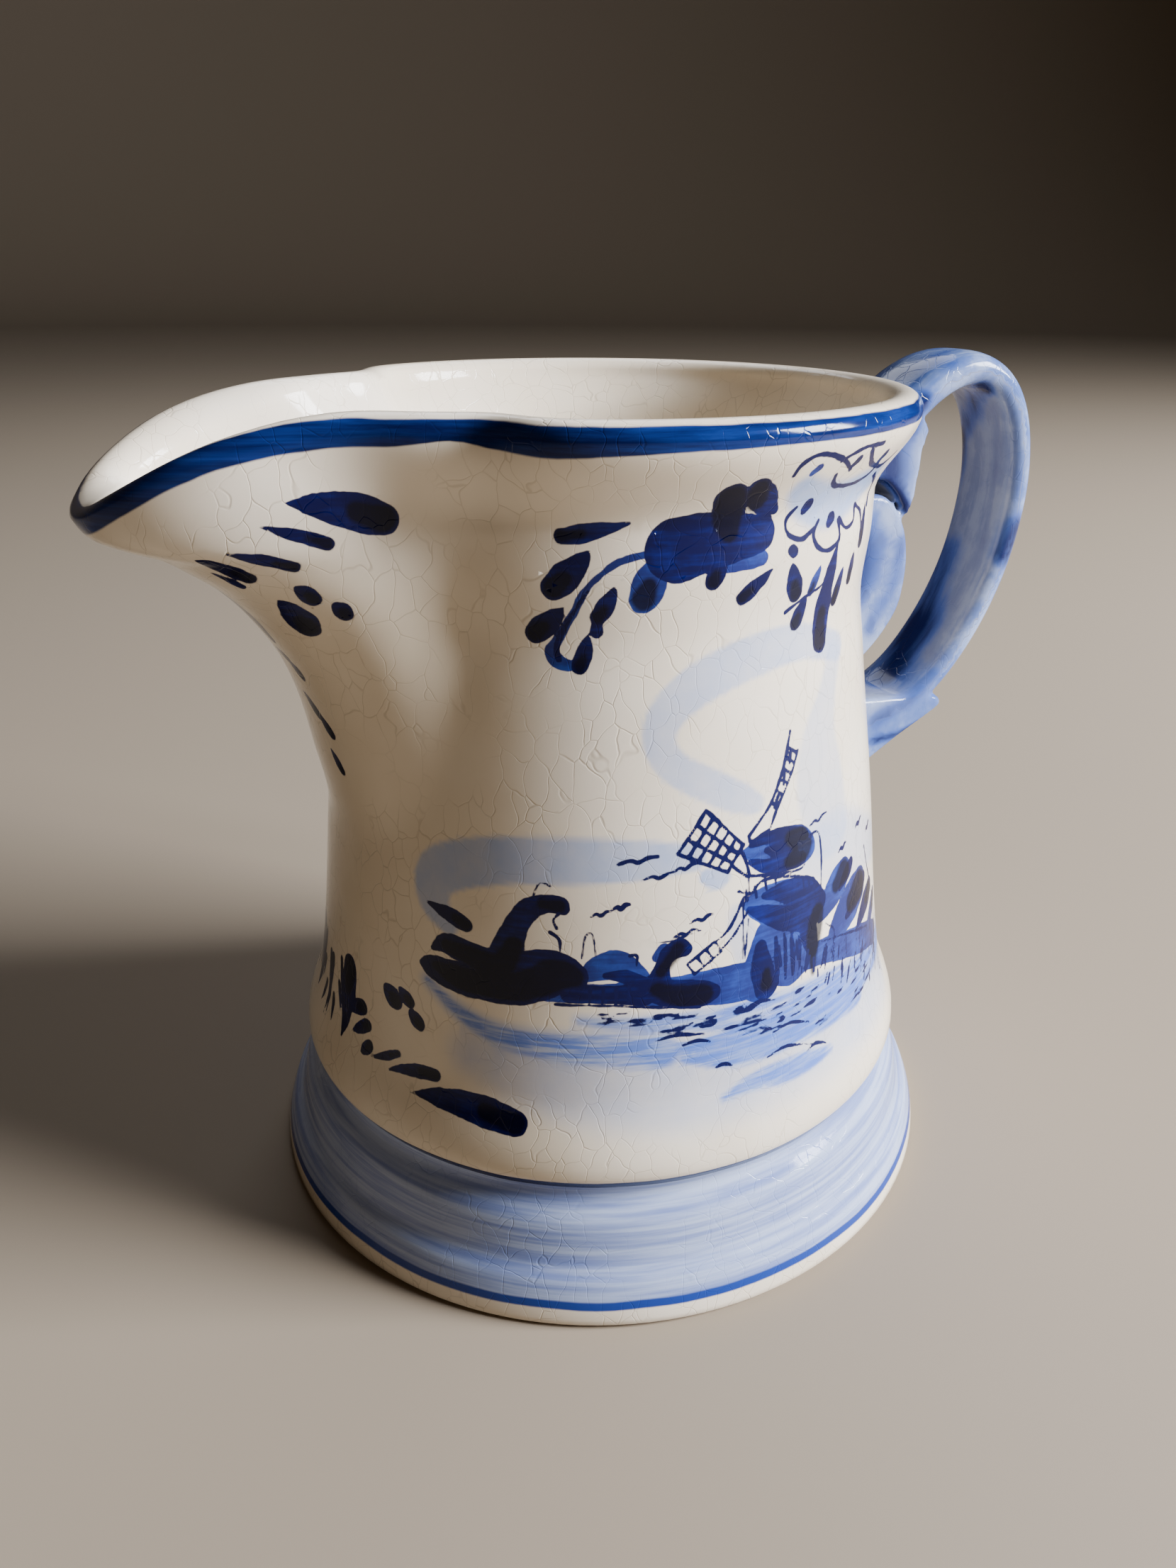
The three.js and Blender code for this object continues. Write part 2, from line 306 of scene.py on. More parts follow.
def close_skin(bm: bmesh.types.BMesh, sliver: float = 0.002, rounds: int = 4) -> None:
    """Take out slivers and folded flaps, close the pinholes they leave, and keep triangles only.

    Args:
        bm: A closed skin in millimetres.
        sliver: The edge length below which a face counts as a sliver.
        rounds: How many times to look again at most.
    """
    for _ in range(rounds):
        bmesh.ops.dissolve_degenerate(bm, dist=sliver, edges=bm.edges)
        bm.verts.index_update()
        twins: dict[tuple[int, ...], list[bmesh.types.BMFace]] = {}
        for face in bm.faces:
            twins.setdefault(tuple(sorted(vert.index for vert in face.verts)), []).append(face)
        flaps = [face for same in twins.values() if len(same) > 1 for face in same]
        bmesh.ops.delete(bm, geom=flaps, context="FACES")
        bmesh.ops.delete(bm, geom=[edge for edge in bm.edges if not edge.link_faces], context="EDGES")
        bmesh.ops.delete(bm, geom=[vert for vert in bm.verts if not vert.link_faces], context="VERTS")
        bmesh.ops.holes_fill(bm, edges=[edge for edge in bm.edges if edge.is_boundary], sides=0)
        split_large_faces(bm)
        if all(edge.is_manifold for edge in bm.edges):
            break
    open_edges = sum(not edge.is_manifold for edge in bm.edges)
    log.info("skin closed, %d faulty edges left", open_edges)


class Place(Enum):
    """Where a station of the wall section lies."""

    AXIS = 0
    UNDERSIDE = 1
    OUTSIDE = 2
    LIP = 3
    INSIDE = 4
    FILLET = 5


@dataclass
class Wall:
    """The hollow body with its foot, rim and spout: a turned section, pulled into shape."""

    form: JugForm
    columns: int = 168
    spout_crowding: float = 1.6
    spout_crowding_spread: float = 38.0
    lip_steps: int = 12
    fillet_steps: int = 6
    underside_ring: float = 0.6

    def section(self) -> list[tuple[Place, float]]:
        """List the stations of the closed section, up the outside, over the lip and down the inside."""
        form = self.form
        outer = [(0, 0.6, 0.3), (0.6, 20, 0.75), (20, 31, 1.4), (31, 78, 2.2), (78, 90, 1.4),
                 (90, 98, 0.6), (98, form.rim_z, 1.0)]
        inner = [(form.rim_z, 95, 1.0), (95, 90, 1.4), (90, form.floor + form.floor_fillet, 3.0)]
        stations = [(Place.AXIS, 0.0), (Place.UNDERSIDE, self.underside_ring)]
        for start, end, step in outer:
            count = round((end - start) / step)
            stations += [(Place.OUTSIDE, start + (end - start) * i / count) for i in range(count)]
        stations += [(Place.LIP, math.pi * i / self.lip_steps) for i in range(self.lip_steps + 1)]
        for start, end, step in inner:
            count = round((start - end) / step)
            stations += [(Place.INSIDE, start + (end - start) * (i + 1) / count) for i in range(count)]
        turns = [math.pi / 2 * (i + 1) / self.fillet_steps for i in range(self.fillet_steps)]
        return stations + [(Place.FILLET, turn) for turn in turns] + [(Place.AXIS, form.floor)]

    def section_points(self, station: tuple[Place, float],
                       angle: np.ndarray) -> tuple[np.ndarray, np.ndarray]:
        """Place one station of the section at each angle.

        Args:
            station: What the station is, and its height or turn.
            angle: Angles from the spout's tip, in radians.

        Returns:
            The distances from the axis and the heights.
        """
        form = self.form
        place, value = station
        height = np.full(angle.shape, float(value))
        if place is Place.AXIS:
            return np.zeros(angle.shape), height
        if place is Place.UNDERSIDE:
            return form.skin(angle, np.zeros(angle.shape)) - value, np.zeros(angle.shape)
        if place is Place.FILLET:
            top = np.full(angle.shape, form.floor + form.floor_fillet)
            radius = form.skin(angle, top, form.wall) - form.floor_fillet * (1 - math.cos(value))
            return radius, top - form.floor_fillet * math.sin(value)
        if place is Place.LIP:
            z = form.lowered(angle, np.full(angle.shape, form.rim_z))
            across = (1 - math.cos(value)) / 2
            radius = form.skin(angle, z) * (1 - across) + form.skin(angle, z, form.wall) * across
            return radius, z + form.lip_rise * math.sin(value)
        z = form.lowered(angle, height)
        return form.skin(angle, z, form.wall if place is Place.INSIDE else 0), z

    def crowded(self, turn: np.ndarray) -> np.ndarray:
        """Shift even turns from the spout, in radians, so that the columns crowd together on the spout."""
        fine = np.linspace(0, math.pi, 721)
        weight = 1 + self.spout_crowding * np.exp(-(np.degrees(fine) / self.spout_crowding_spread) ** 2)
        run = np.concatenate([[0], np.cumsum((weight[1:] + weight[:-1]) / 2)])
        return np.interp(turn, run / run[-1] * math.pi, fine)

    def build(self) -> bmesh.types.BMesh:
        """Spin the plain section and pull every vertex onto the jug's skin."""
        stations = self.section()
        quarter = np.array([math.pi / 2])
        plain = np.array([np.hstack(self.section_points(station, quarter)) for station in stations])
        bm = bmesh.new()
        verts = [bm.verts.new((radius, 0, z)) for radius, z in plain]
        edges = [bm.edges.new(pair) for pair in zip(verts, verts[1:])]
        bmesh.ops.spin(bm, geom=verts + edges, cent=(0, 0, 0), axis=(0, 0, 1), angle=2 * math.pi,
                       steps=self.columns, use_merge=True, use_duplicate=False)
        bmesh.ops.remove_doubles(bm, verts=bm.verts, dist=1e-4)
        bm.verts.ensure_lookup_table()
        points = vertex_array(bm)
        turn, radius, z = polar(points)
        side = np.where(points[:, 1] < 0, -1, 1)
        station_of = np.argmin(np.hypot(radius[:, None] - plain[:, 0], z[:, None] - plain[:, 1]), axis=1)
        angle = self.crowded(turn)
        for index, station in enumerate(stations):
            on = station_of == index
            radius[on], z[on] = self.section_points(station, angle[on])
        place_vertices(bm, np.column_stack([-radius * np.cos(angle), side * radius * np.sin(angle), z]))
        bmesh.ops.recalc_face_normals(bm, faces=bm.faces)
        return bm


@dataclass
class Handle:
    """The strap handle with its tail, scroll and heel, modelled as one lump of clay with soft edges.

    The outlines give shares of the handle's reach and height. Each dark mark gives its reach, its strength
    and the places that it runs through. Some are blotches of the blue wash. The others are painted shade:
    the dark lines in the crevice between tail and scroll and in the creases at the heel, and the darkening
    on the tail and scroll under the rim and beside the wall.
    """

    form: JugForm
    strap_width: float = 13.0
    strap_thickness: float = 5.0
    root_thickening: float = 1.8
    edge: float = 1.6
    reach: float = 70.8
    crest: float = 2.8
    heel: float = 47.0
    crown_power: float = 3.0
    strap_steps: int = 90
    ring_sides: int = 32
    clay_grain: float = 0.46
    smoothing: int = 3
    kept_share: float = 0.2
    widest_edge: float = 1.7
    evening_rounds: int = 3
    thin_edge: float = 0.7
    face_shift: float = 20.0
    strap_path: tuple[tuple[float, float], ...] = (
        (-0.1, 0.84), (0.22, 0.857), (0.34, 0.892), (0.43, 0.926), (0.53, 0.951), (0.64, 0.96),
        (0.74, 0.942), (0.82, 0.905), (0.88, 0.848), (0.917, 0.775), (0.93, 0.695), (0.918, 0.615),
        (0.886, 0.53), (0.835, 0.45), (0.76, 0.37), (0.667, 0.297), (0.565, 0.238), (0.44, 0.193),
        (0.28, 0.163), (-0.1, 0.14),
    )
    tail: tuple[tuple[float, float], ...] = (
        (-0.1, 0.87), (0.25, 0.88), (0.385, 0.85), (0.368, 0.79), (0.362, 0.735), (0.35, 0.69),
        (0.32, 0.657), (0.295, 0.682), (0.24, 0.72), (0.16, 0.742), (-0.1, 0.765),
    )
    scroll: tuple[tuple[float, float], ...] = (
        (-0.1, 0.71), (0.16, 0.708), (0.238, 0.694), (0.292, 0.66), (0.335, 0.612), (0.355, 0.54),
        (0.336, 0.452), (0.272, 0.392), (0.192, 0.345), (0.1, 0.31), (-0.1, 0.26),
    )
    tongue: tuple[tuple[float, float], ...] = (
        (-0.1, 0.24), (0.45, 0.215), (0.575, 0.206), (0.615, 0.2), (0.628, 0.184), (0.606, 0.17),
        (0.52, 0.145), (0.4, 0.112), (0.28, 0.075), (0.16, 0.036), (0.08, 0.008), (-0.1, -0.06),
    )
    # Dark marks: blotches of the blue wash, and painted shade in the crevices, at the heel and under the rim.
    blots_and_shade: tuple[tuple[float, float, tuple[tuple[float, float, float], ...]], ...] = (
        (4.2, 0.95, ((51.5, 0.0, 63.0), (55.0, 1.5, 65.6), (58.4, 2.2, 69.6))),
        (3.0, 0.7, ((58.4, 2.2, 69.6), (61.6, 3.4, 75.6), (63.6, 4.2, 81.0))),
        (1.2, 0.7, ((64.6, 5.4, 88.0), (65.6, 5.2, 94.0), (65.4, 5.0, 99.0))),
        (2.0, 0.8, ((66.6, -6.3, 82.0), (68.2, -6.4, 86.4))),
        (1.4, 0.95, ((58.6, -5.2, 107.0), (60.0, -4.4, 106.4))),
        (2.2, 0.6, ((60.6, -2.0, 105.6), (62.9, 0.8, 103.7), (64.3, 3.0, 100.9))),
        (1.7, 0.95, ((44.8, -6.6, 102.4), (45.8, -6.6, 104.2), (47.2, -6.4, 105.8))),
        (3.2, 0.5, ((46.6, -1.0, 110.0), (50.6, -3.0, 111.4))),
        # Painted shade: the dark line in the crevice between tail and scroll.
        (0.9, 0.95, ((40.6, -5.5, 94.4), (42.8, -6.4, 94.2), (44.6, -6.4, 93.0), (46.4, -6.4, 90.8))),
        (2.4, 0.9, ((38.6, -6.5, 88.0), (38.2, -6.5, 84.0), (38.0, -6.5, 79.0))),
        (2.6, 0.5, ((41.4, -6.5, 86.0), (40.6, -6.5, 82.0))),
        (1.6, 0.4, ((46.2, -6.4, 86.0), (44.8, -6.5, 79.0), (41.6, -6.5, 73.6))),
        # Painted shade on the tail under the rim.
        (3.6, 0.8, ((41.4, -6.5, 101.6), (42.4, -6.5, 96.0))),
        # Painted shade in the creases at the heel.
        (2.0, 0.5, ((44.6, -6.5, 57.8), (50.7, -6.5, 60.3), (55.0, -6.5, 64.0))),
        (0.8, 0.9, ((44.0, -6.6, 54.6), (49.0, -6.6, 54.9), (53.0, -6.4, 56.0))),
    )

    def plane(self, shares: Sequence[tuple[float, float]]) -> np.ndarray:
        """Turn shares of the handle's reach and height into X and Z in its plane."""
        face = float(self.form.round_wall(np.array(self.form.waist_z)))
        top = self.form.lip_z + self.crest
        out, up = np.array(shares).T
        return np.column_stack([face + out * (self.reach - face), self.heel + up * (top - self.heel)])

    def glaze_layers(self, points: np.ndarray) -> dict[str, np.ndarray]:
        """Measure where handle points lie along and across the strap, and how near blotches and painted
        shade.

        Args:
            points: Places in millimetres, one row each.

        Returns:
            The distance along the strap, the distance across it and the strength of the dark marks, which
            are partly blotches of the blue wash and partly painted shade. The strap's outer face counts as
            face_shift farther across, and its inner face as face_shift less, so that the two faces carry
            different strokes and the inner face can take its painted shade grey.
        """
        path = spline(self.plane(self.strap_path), self.strap_steps + 1)
        step = np.linalg.norm(np.diff(path, axis=0), axis=1)
        run = np.concatenate([[0], np.cumsum(step)])
        gap = np.linalg.norm(points[:, None, (0, 2)] - path[None], axis=2)
        nearest = np.argmin(gap, axis=1)
        tangent = np.gradient(path, axis=0)[nearest]
        offset = points[:, (0, 2)] - path[nearest]
        side = np.where(tangent[:, 0] * offset[:, 1] - tangent[:, 1] * offset[:, 0] > 0, 1, -1)
        clear = np.ones(len(points))
        for reach, strength, places in self.blots_and_shade:
            apart = np.full(len(points), np.inf)
            for start, end in zip(np.array(places), np.array(places[1:])):
                way = end - start
                share = np.clip((points - start) @ way / (way @ way), 0, 1)
                apart = np.minimum(apart, np.linalg.norm(points - start - share[:, None] * way, axis=1))
            clear *= 1 - strength * np.exp(-(apart / reach) ** 2)
        across = points[:, 1] + side * self.face_shift
        return {"grip_along": run[nearest], "grip_across": across, "grip_blot_and_shade": 1 - clear}

    def strap(self, bm: bmesh.types.BMesh) -> None:
        """Extrude a straight bar with a crowned section and bend it along the strap's path."""
        ring = bmesh.ops.create_circle(bm, cap_ends=True, radius=1, segments=self.ring_sides)
        face = ring["verts"][0].link_faces[0]
        verts = list(ring["verts"])
        for _ in range(self.strap_steps):
            grown = bmesh.ops.extrude_face_region(bm, geom=[face])
            new = [item for item in grown["geom"] if isinstance(item, bmesh.types.BMVert)]
            face = next(item for item in grown["geom"] if isinstance(item, bmesh.types.BMFace))
            bmesh.ops.translate(bm, vec=(0, 0, 1), verts=new)
            verts += new
        path = spline(self.plane(self.strap_path), self.strap_steps + 1)
        tangent = np.gradient(path, axis=0)
        tangent /= np.linalg.norm(tangent, axis=1)[:, None]
        for vert in verts:
            step = round(vert.co.z)
            share = step / self.strap_steps
            thick = self.strap_thickness + self.root_thickening * max(1 - 4 * share, 0)
            across, out = (math.copysign(abs(part) ** (2 / self.crown_power), part) for part in vert.co[:2])
            normal = np.array([-tangent[step, 1], tangent[step, 0]])
            x, z = path[step] + normal * out * thick / 2
            vert.co = (x, across * self.strap_width / 2, z)

    def slab(self, bm: bmesh.types.BMesh, outline: Sequence[tuple[float, float]], edge: float) -> None:
        """Extrude a smooth outline across the strap's width and round its long edges.

        Args:
            bm: The mesh to add to.
            outline: Shares of the handle's reach and height, from the wall round to the wall.
            edge: The radius of the rounded edges.
        """
        half = self.strap_width / 2
        points = spline(self.plane(outline), 5 * len(outline))
        face = bm.faces.new([bm.verts.new((x, -half, z)) for x, z in points])
        grown = bmesh.ops.extrude_face_region(bm, geom=[face])["geom"]
        new = [item for item in grown if isinstance(item, bmesh.types.BMVert)]
        bmesh.ops.translate(bm, vec=(0, 2 * half, 0), verts=new)
        rims = [side for side in face.edges]
        rims += [item for item in grown if isinstance(item, bmesh.types.BMEdge)]
        bmesh.ops.bevel(bm, geom=rims, offset=edge, offset_type="OFFSET", segments=3, profile=0.5,
                        affect="EDGES", material=-1, clamp_overlap=True)

    def build(self) -> bmesh.types.BMesh:
        """Fuse the handle's members into one soft lump that ends in the middle of the wall."""
        bm = bmesh.new()
        self.strap(bm)
        for outline, edge in (
            (self.tail, self.thin_edge), (self.scroll, self.edge), (self.tongue, self.thin_edge),
        ):
            self.slab(bm, outline, edge)
        bmesh.ops.recalc_face_normals(bm, faces=bm.faces)
        lump = mesh_object("handle_clay", bm)
        remesh = lump.modifiers.new("fuse", "REMESH")
        remesh.mode = "VOXEL"
        remesh.voxel_size = self.clay_grain * MM
        apply_modifiers(lump)
        bm = bmesh_in_mm(lump)
        smooth(bm, bm.verts, self.smoothing)
        points = vertex_array(bm)
        angle, radius, z = polar(points)
        middle = self.form.skin(angle, z) - self.form.wall / 2
        push = np.maximum(middle - radius, 0) / radius
        points[:, :2] *= 1 + push[:, None]
        place_vertices(bm, points)
        bmesh.ops.recalc_face_normals(bm, faces=bm.faces)
        lump = mesh_object("handle_clay", bm)
        thin = lump.modifiers.new("thin", "DECIMATE")
        thin.ratio = self.kept_share
        apply_modifiers(lump)
        bm = bmesh_in_mm(lump)
        for _ in range(self.evening_rounds):
            wide = [edge for edge in bm.edges if edge.calc_length() > self.widest_edge]
            bmesh.ops.subdivide_edges(bm, edges=wide, cuts=1)
            split_large_faces(bm)
        close_skin(bm)
        log.info("handle: %d faces", len(bm.faces))
        return bm


class Pigment(Enum):
    """The layers of cobalt, from a pale wash to nearly black."""

    WASH = "wash"
    MID = "mid"
    DEEP = "deep"
    POOL = "pool"
    LINE = "line"


class Chart(Enum):
    """How a stroke's points are given: angle and height on the wall, or X and Z on the spout's sides."""

    WALL = 0
    SPOUT = 1


@dataclass(frozen=True)
class Stroke:
    """One brush stroke: a smooth path whose points carry the brush's half width."""

    pigment: Pigment
    path: tuple[PathPoint, ...]
    chart: Chart = Chart.WALL
    strength: float = 1.0
    soft: float = 0.8


FAR = 3.0  # The distance from a stroke past which nothing is measured.


@dataclass
class Painting:
    """The cobalt painting: it lays strokes on the skin and measures how far each point is from them."""

    form: JugForm
    skin_share: float = 0.4
    spout_sector: float = 60.0
    strokes: list[Stroke] = field(default_factory=list)

    def radius_at(self, z: float) -> float:
        """Give the round wall's radius at a height."""
        return float(self.form.round_wall(np.array(z)))

    def add(self, pigment: Pigment, *path: PathPoint, chart: Chart = Chart.WALL, strength: float = 1.0,
            soft: float = 0.8) -> None:
        """Lay one stroke."""
        self.strokes.append(Stroke(pigment, path, chart, strength, soft))

    def flat(self, stroke: Stroke) -> tuple[np.ndarray, float]:
        """Unroll a stroke's path to millimetres, and give millimetres for each degree."""
        path = np.array(stroke.path, float)
        scale = 1.0
        if stroke.chart is Chart.WALL:
            scale = math.radians(self.radius_at(float(path[:, 1].mean())))
        path[:, 0] *= scale
        return spline(path, 4 * (len(path) - 1) + 1), scale

    def leaf(self, tip: tuple[float, float], heel: tuple[float, float], width: float, bend: float = 0.0,
             chart: Chart = Chart.WALL, body: Pigment = Pigment.DEEP, pool: bool = True) -> None:
        """Lay a pointed leaf, pressed down towards its round heel, where the pigment pools.

        Args:
            tip: The pointed end.
            heel: The round end.
            width: The leaf's full width.
            bend: How far the middle bows to the left of the way from tip to heel.
            chart: How the points are given.
            body: The pigment of the leaf itself.
            pool: Whether a darker pool lies in the heel.
        """
        scale = math.radians(self.radius_at((tip[1] + heel[1]) / 2)) if chart is Chart.WALL else 1.0
        start = np.array([tip[0] * scale, tip[1]])
        run = np.array([heel[0] * scale, heel[1]]) - start
        length = float(np.hypot(*run))
        left = np.array([-run[1], run[0]]) / length
        half = width / 2
        end = max(1 - half * 0.85 / length, 0.5)

        def at(share: float, half_width: float) -> PathPoint:
            """Give the path point at a share of the leaf's length."""
            point = start + run * share + left * bend * 4 * share * (1 - share)
            return (float(point[0]) / scale, float(point[1]), half_width)

        self.add(body, at(0, 0.06), at(0.3 * end, 0.62 * half), at(0.7 * end, half), at(end, 0.85 * half),
                 chart=chart)
        if pool:
            self.add(Pigment.POOL, at(0.72 * end, 0.5 * half), at(end, 0.72 * half), chart=chart)

    def line(self, *points: tuple[float, float], half: float = 0.24, chart: Chart = Chart.WALL) -> None:
        """Lay a fine pen-like line through points."""
        self.add(Pigment.LINE, *[(a, z, half) for a, z in points], chart=chart)

    def bird(self, angle: float, z: float, span: float = 5.0, tilt: float = 0.5) -> None:
        """Lay a far bird: two shallow wings with a thicker middle.

        Args:
            angle: The angle of the bird's middle.
            z: Its height.
            span: How many degrees the wings reach over.
            tilt: How far the right wing rises.
        """
        reach = span / 2
        self.add(Pigment.LINE, (angle - reach, z - tilt * 0.3, 0.12),
                 (angle - reach * 0.4, z + tilt * 0.5, 0.26), (angle, z, 0.3),
                 (angle + reach * 0.5, z + tilt, 0.24), (angle + reach, z + tilt * 1.1, 0.1))

    def sail(self, root: tuple[float, float], tip: tuple[float, float], width: float, rungs: int, rails: int,
             root_width: float, half: float = 0.24) -> None:
        """Lay a lattice sail: rails along it and rungs across it.

        Args:
            root: The middle of the sail's inner end.
            tip: The middle of its outer end.
            width: The sail's full width at its outer end.
            rungs: How many bars cross it.
            rails: How many bars run along it.
            root_width: Its full width at its inner end.
            half: Half the width of each bar.
        """
        scale = math.radians(self.radius_at(root[1]))
        start = np.array([root[0] * scale, root[1]])
        run = np.array([tip[0] * scale, tip[1]]) - start
        side = np.array([-run[1], run[0]]) / float(np.hypot(*run)) / 2

        def corner(along: float, across: float) -> tuple[float, float]:
            """Give the point at shares of the sail's length and half width."""
            point = start + run * along + side * across * (root_width + (width - root_width) * along)
            return (float(point[0]) / scale, float(point[1]))

        for rail in range(rails):
            across = -1 + 2 * rail / (rails - 1)
            self.line(corner(0, across), corner(0.5, across), corner(1, across), half=half)
        for rung in range(rungs):
            along = rung / (rungs - 1)
            self.line(corner(along, -1), corner(along, 1), half=half)

    def distances(self, points: np.ndarray) -> dict[Pigment, np.ndarray]:
        """Measure every layer at points on the jug.

        Args:
            points: Places in millimetres, one row each.

        Returns:
            For each crisp layer the signed distance to its nearest stroke's edge, negative inside it,
            and for the wash its density.
        """
        turn, radius, z = polar(points)
        degrees = np.degrees(np.arctan2(points[:, 1], points[:, 0])) % 360
        outside = radius > self.form.skin(turn, z) - self.form.wall * self.skin_share
        layers = {pigment: np.full(len(points), FAR) for pigment in Pigment}
        layers[Pigment.WASH][:] = 0
        for stroke in self.strokes:
            path, scale = self.flat(stroke)
            if stroke.chart is Chart.WALL:
                across = degrees * scale
                free = outside
            else:
                across = points[:, 0]
                free = outside & (turn < math.radians(self.spout_sector)) & (z > self.form.spout_foot)
            margin = path[:, 2].max() + FAR
            low, high = path[:, :2].min(0) - margin, path[:, :2].max(0) + margin
            near = free & (across > low[0]) & (across < high[0]) & (z > low[1]) & (z < high[1])
            if not near.any():
                continue
            place = np.column_stack([across[near], z[near]])
            gap = np.full(len(place), FAR)
            for start, end in zip(path, path[1:]):
                run = end[:2] - start[:2]
                share = np.clip((place - start[:2]) @ run / max(run @ run, 1e-9), 0, 1)
                foot = start[:2] + share[:, None] * run
                reach = start[2] + share * (end[2] - start[2])
                gap = np.minimum(gap, np.hypot(*(place - foot).T) - reach)
            layer = layers[stroke.pigment]
            if stroke.pigment is Pigment.WASH:
                density = stroke.strength * ramp(-gap, -stroke.soft, stroke.soft)
                layer[near] = 1 - (1 - layer[near]) * (1 - density)
            else:
                layer[near] = np.minimum(layer[near], gap)
        return layers


@dataclass
class RiverScene:
    """The picture on the painted side: clouds, a mill with lattice sails, trees, houses and water."""

    painting: Painting
    seed: int = 7
    ripples: int = 62
    grass_blades: int = 84

    def clouds(self) -> None:
        """Lay the broad pale bands of the sky."""
        add = self.painting.add
        add(Pigment.WASH, (299, 81, 1.8), (287, 83.2, 2.2), (275, 82.9, 2.5), (264, 80.9, 2.5),
            (257.0, 77.7, 2.2), (255.4, 74.3, 1.9), (258.2, 71.3, 1.9), (264.7, 68.7, 2.0), (270, 66.8, 1.9),
            (273.8, 65.5, 1.3), strength=0.66, soft=0.3)
        add(Pigment.WASH, (298, 80, 1.8), (295, 76, 2.0), (291.5, 70.5, 3.6), (291.5, 65, 4.8),
            (293.5, 59, 4.4), strength=0.42, soft=0.5)
        add(Pigment.WASH, (217, 50.6, 1.4), (213.7, 53.2, 2.3), (214.4, 56.8, 3.0), (221, 59.0, 3.0),
            (230, 60.3, 2.9), (242, 60.7, 2.8), (252, 60.7, 2.4), (261, 60.4, 1.7), strength=0.78, soft=0.35)
        add(Pigment.WASH, (263.6, 57.8, 1.0), (265.4, 57.3, 1.3), (266.6, 57.3, 1.1), strength=0.9, soft=0.25)
        add(Pigment.WASH, (287, 57, 3.0), (296, 55.5, 5.0), (306, 53, 4.5), (318, 50, 3.0), strength=0.45,
            soft=1.2)
        add(Pigment.WASH, (269.4, 52.4, 1.2), (270.4, 49.6, 2.1), (271.4, 46.6, 1.9), strength=0.5, soft=0.5)

    def water(self) -> None:
        """Lay the river's washes, its ripples and the streaked patch of shade."""
        add = self.painting.add
        add(Pigment.WASH, (212.6, 42.2, 0.9), (219.8, 39.2, 1.3), (226.9, 37.6, 1.6), (235, 37.0, 1.9),
            (245, 36.8, 2.2), (255, 36.0, 2.4), strength=0.8, soft=1.0)
        add(Pigment.WASH, (222, 34, 3.0), (240, 32, 5.0), (262, 31, 6.0), (284, 31, 6.0), (316, 31, 6.0),
            strength=0.5, soft=2.4)
        add(Pigment.WASH, (241, 40.4, 0.7), (256, 39.6, 1.4), (268, 38.8, 2.0), (280, 37.6, 2.5),
            (294, 36, 3.0), (308, 34, 2.6), (322, 33, 2.0), strength=0.84, soft=0.9)
        add(Pigment.WASH, (258, 36.2, 0.6), (266, 35.4, 1.6), (276, 34.6, 2.3), (288, 33.8, 2.6),
            (302, 32.2, 2.0), strength=0.9, soft=0.6)
        add(Pigment.WASH, (259, 34.4, 0.6), (268, 33.4, 1.6), (277, 33.4, 1.9), (284, 33.4, 1.6),
            strength=0.85, soft=0.5)
        add(Pigment.WASH, (265.5, 28.0, 0.3), (271, 28.9, 1.1), (277, 28.8, 1.5), (284, 28.4, 1.3),
            (290.5, 28.0, 0.4), strength=0.85, soft=0.4)
        dice = random.Random(self.seed)
        for _ in range(self.ripples):
            way = dice.random() ** 0.8
            angle = 240 + 68 * way
            top = 42.0 - 0.075 * (angle - 240)
            z = top - dice.random() * (1.5 + 0.1 * (angle - 240))
            length = dice.uniform(1.8, 4.2)
            half = dice.uniform(0.12, 0.24)
            add(Pigment.LINE, (angle, z, 0.08), (angle + length * 0.35, z + 0.12, half),
                (angle + length * 0.7, z + 0.1, half * 0.9), (angle + length, z + 0.3, 0.06))
        for path in (
            ((253.9, 37.3), (257.6, 37.8), (262.7, 37.3)), ((258.8, 36.3), (261.4, 36.6), (263.7, 36.1)),
            ((265.9, 37.3), (271.5, 37.2), (278.8, 36.3)), ((274.9, 31.5), (279.4, 31.9), (285.7, 30.2)),
            ((284.2, 29.7), (286.6, 30.0), (289.6, 29.0)), ((264.6, 32.4), (266.4, 32.6), (267.9, 32.0)),
            ((270.4, 39.2), (273.6, 39.6), (277.4, 39.0)), ((276.4, 34.6), (280.4, 34.9), (285.2, 33.6)),
        ):
            add(Pigment.LINE, *[(angle, z, half) for (angle, z), half in zip(path, (0.1, 0.26, 0.1))])

    def grass(self) -> None:
        """Lay the reeds on the right bank as short upright strokes."""
        dice = random.Random(self.seed + 1)
        for _ in range(self.grass_blades):
            angle = dice.uniform(281, 322)
            top = 43.4 - 0.17 * (angle - 281)
            z = top - dice.random() * (2.5 + 0.2 * (angle - 281))
            height = dice.uniform(1.0, 2.6)
            lean = dice.uniform(0.0, 1.3)
            self.painting.line((angle, z), (angle + lean, z + height), half=dice.uniform(0.11, 0.2))

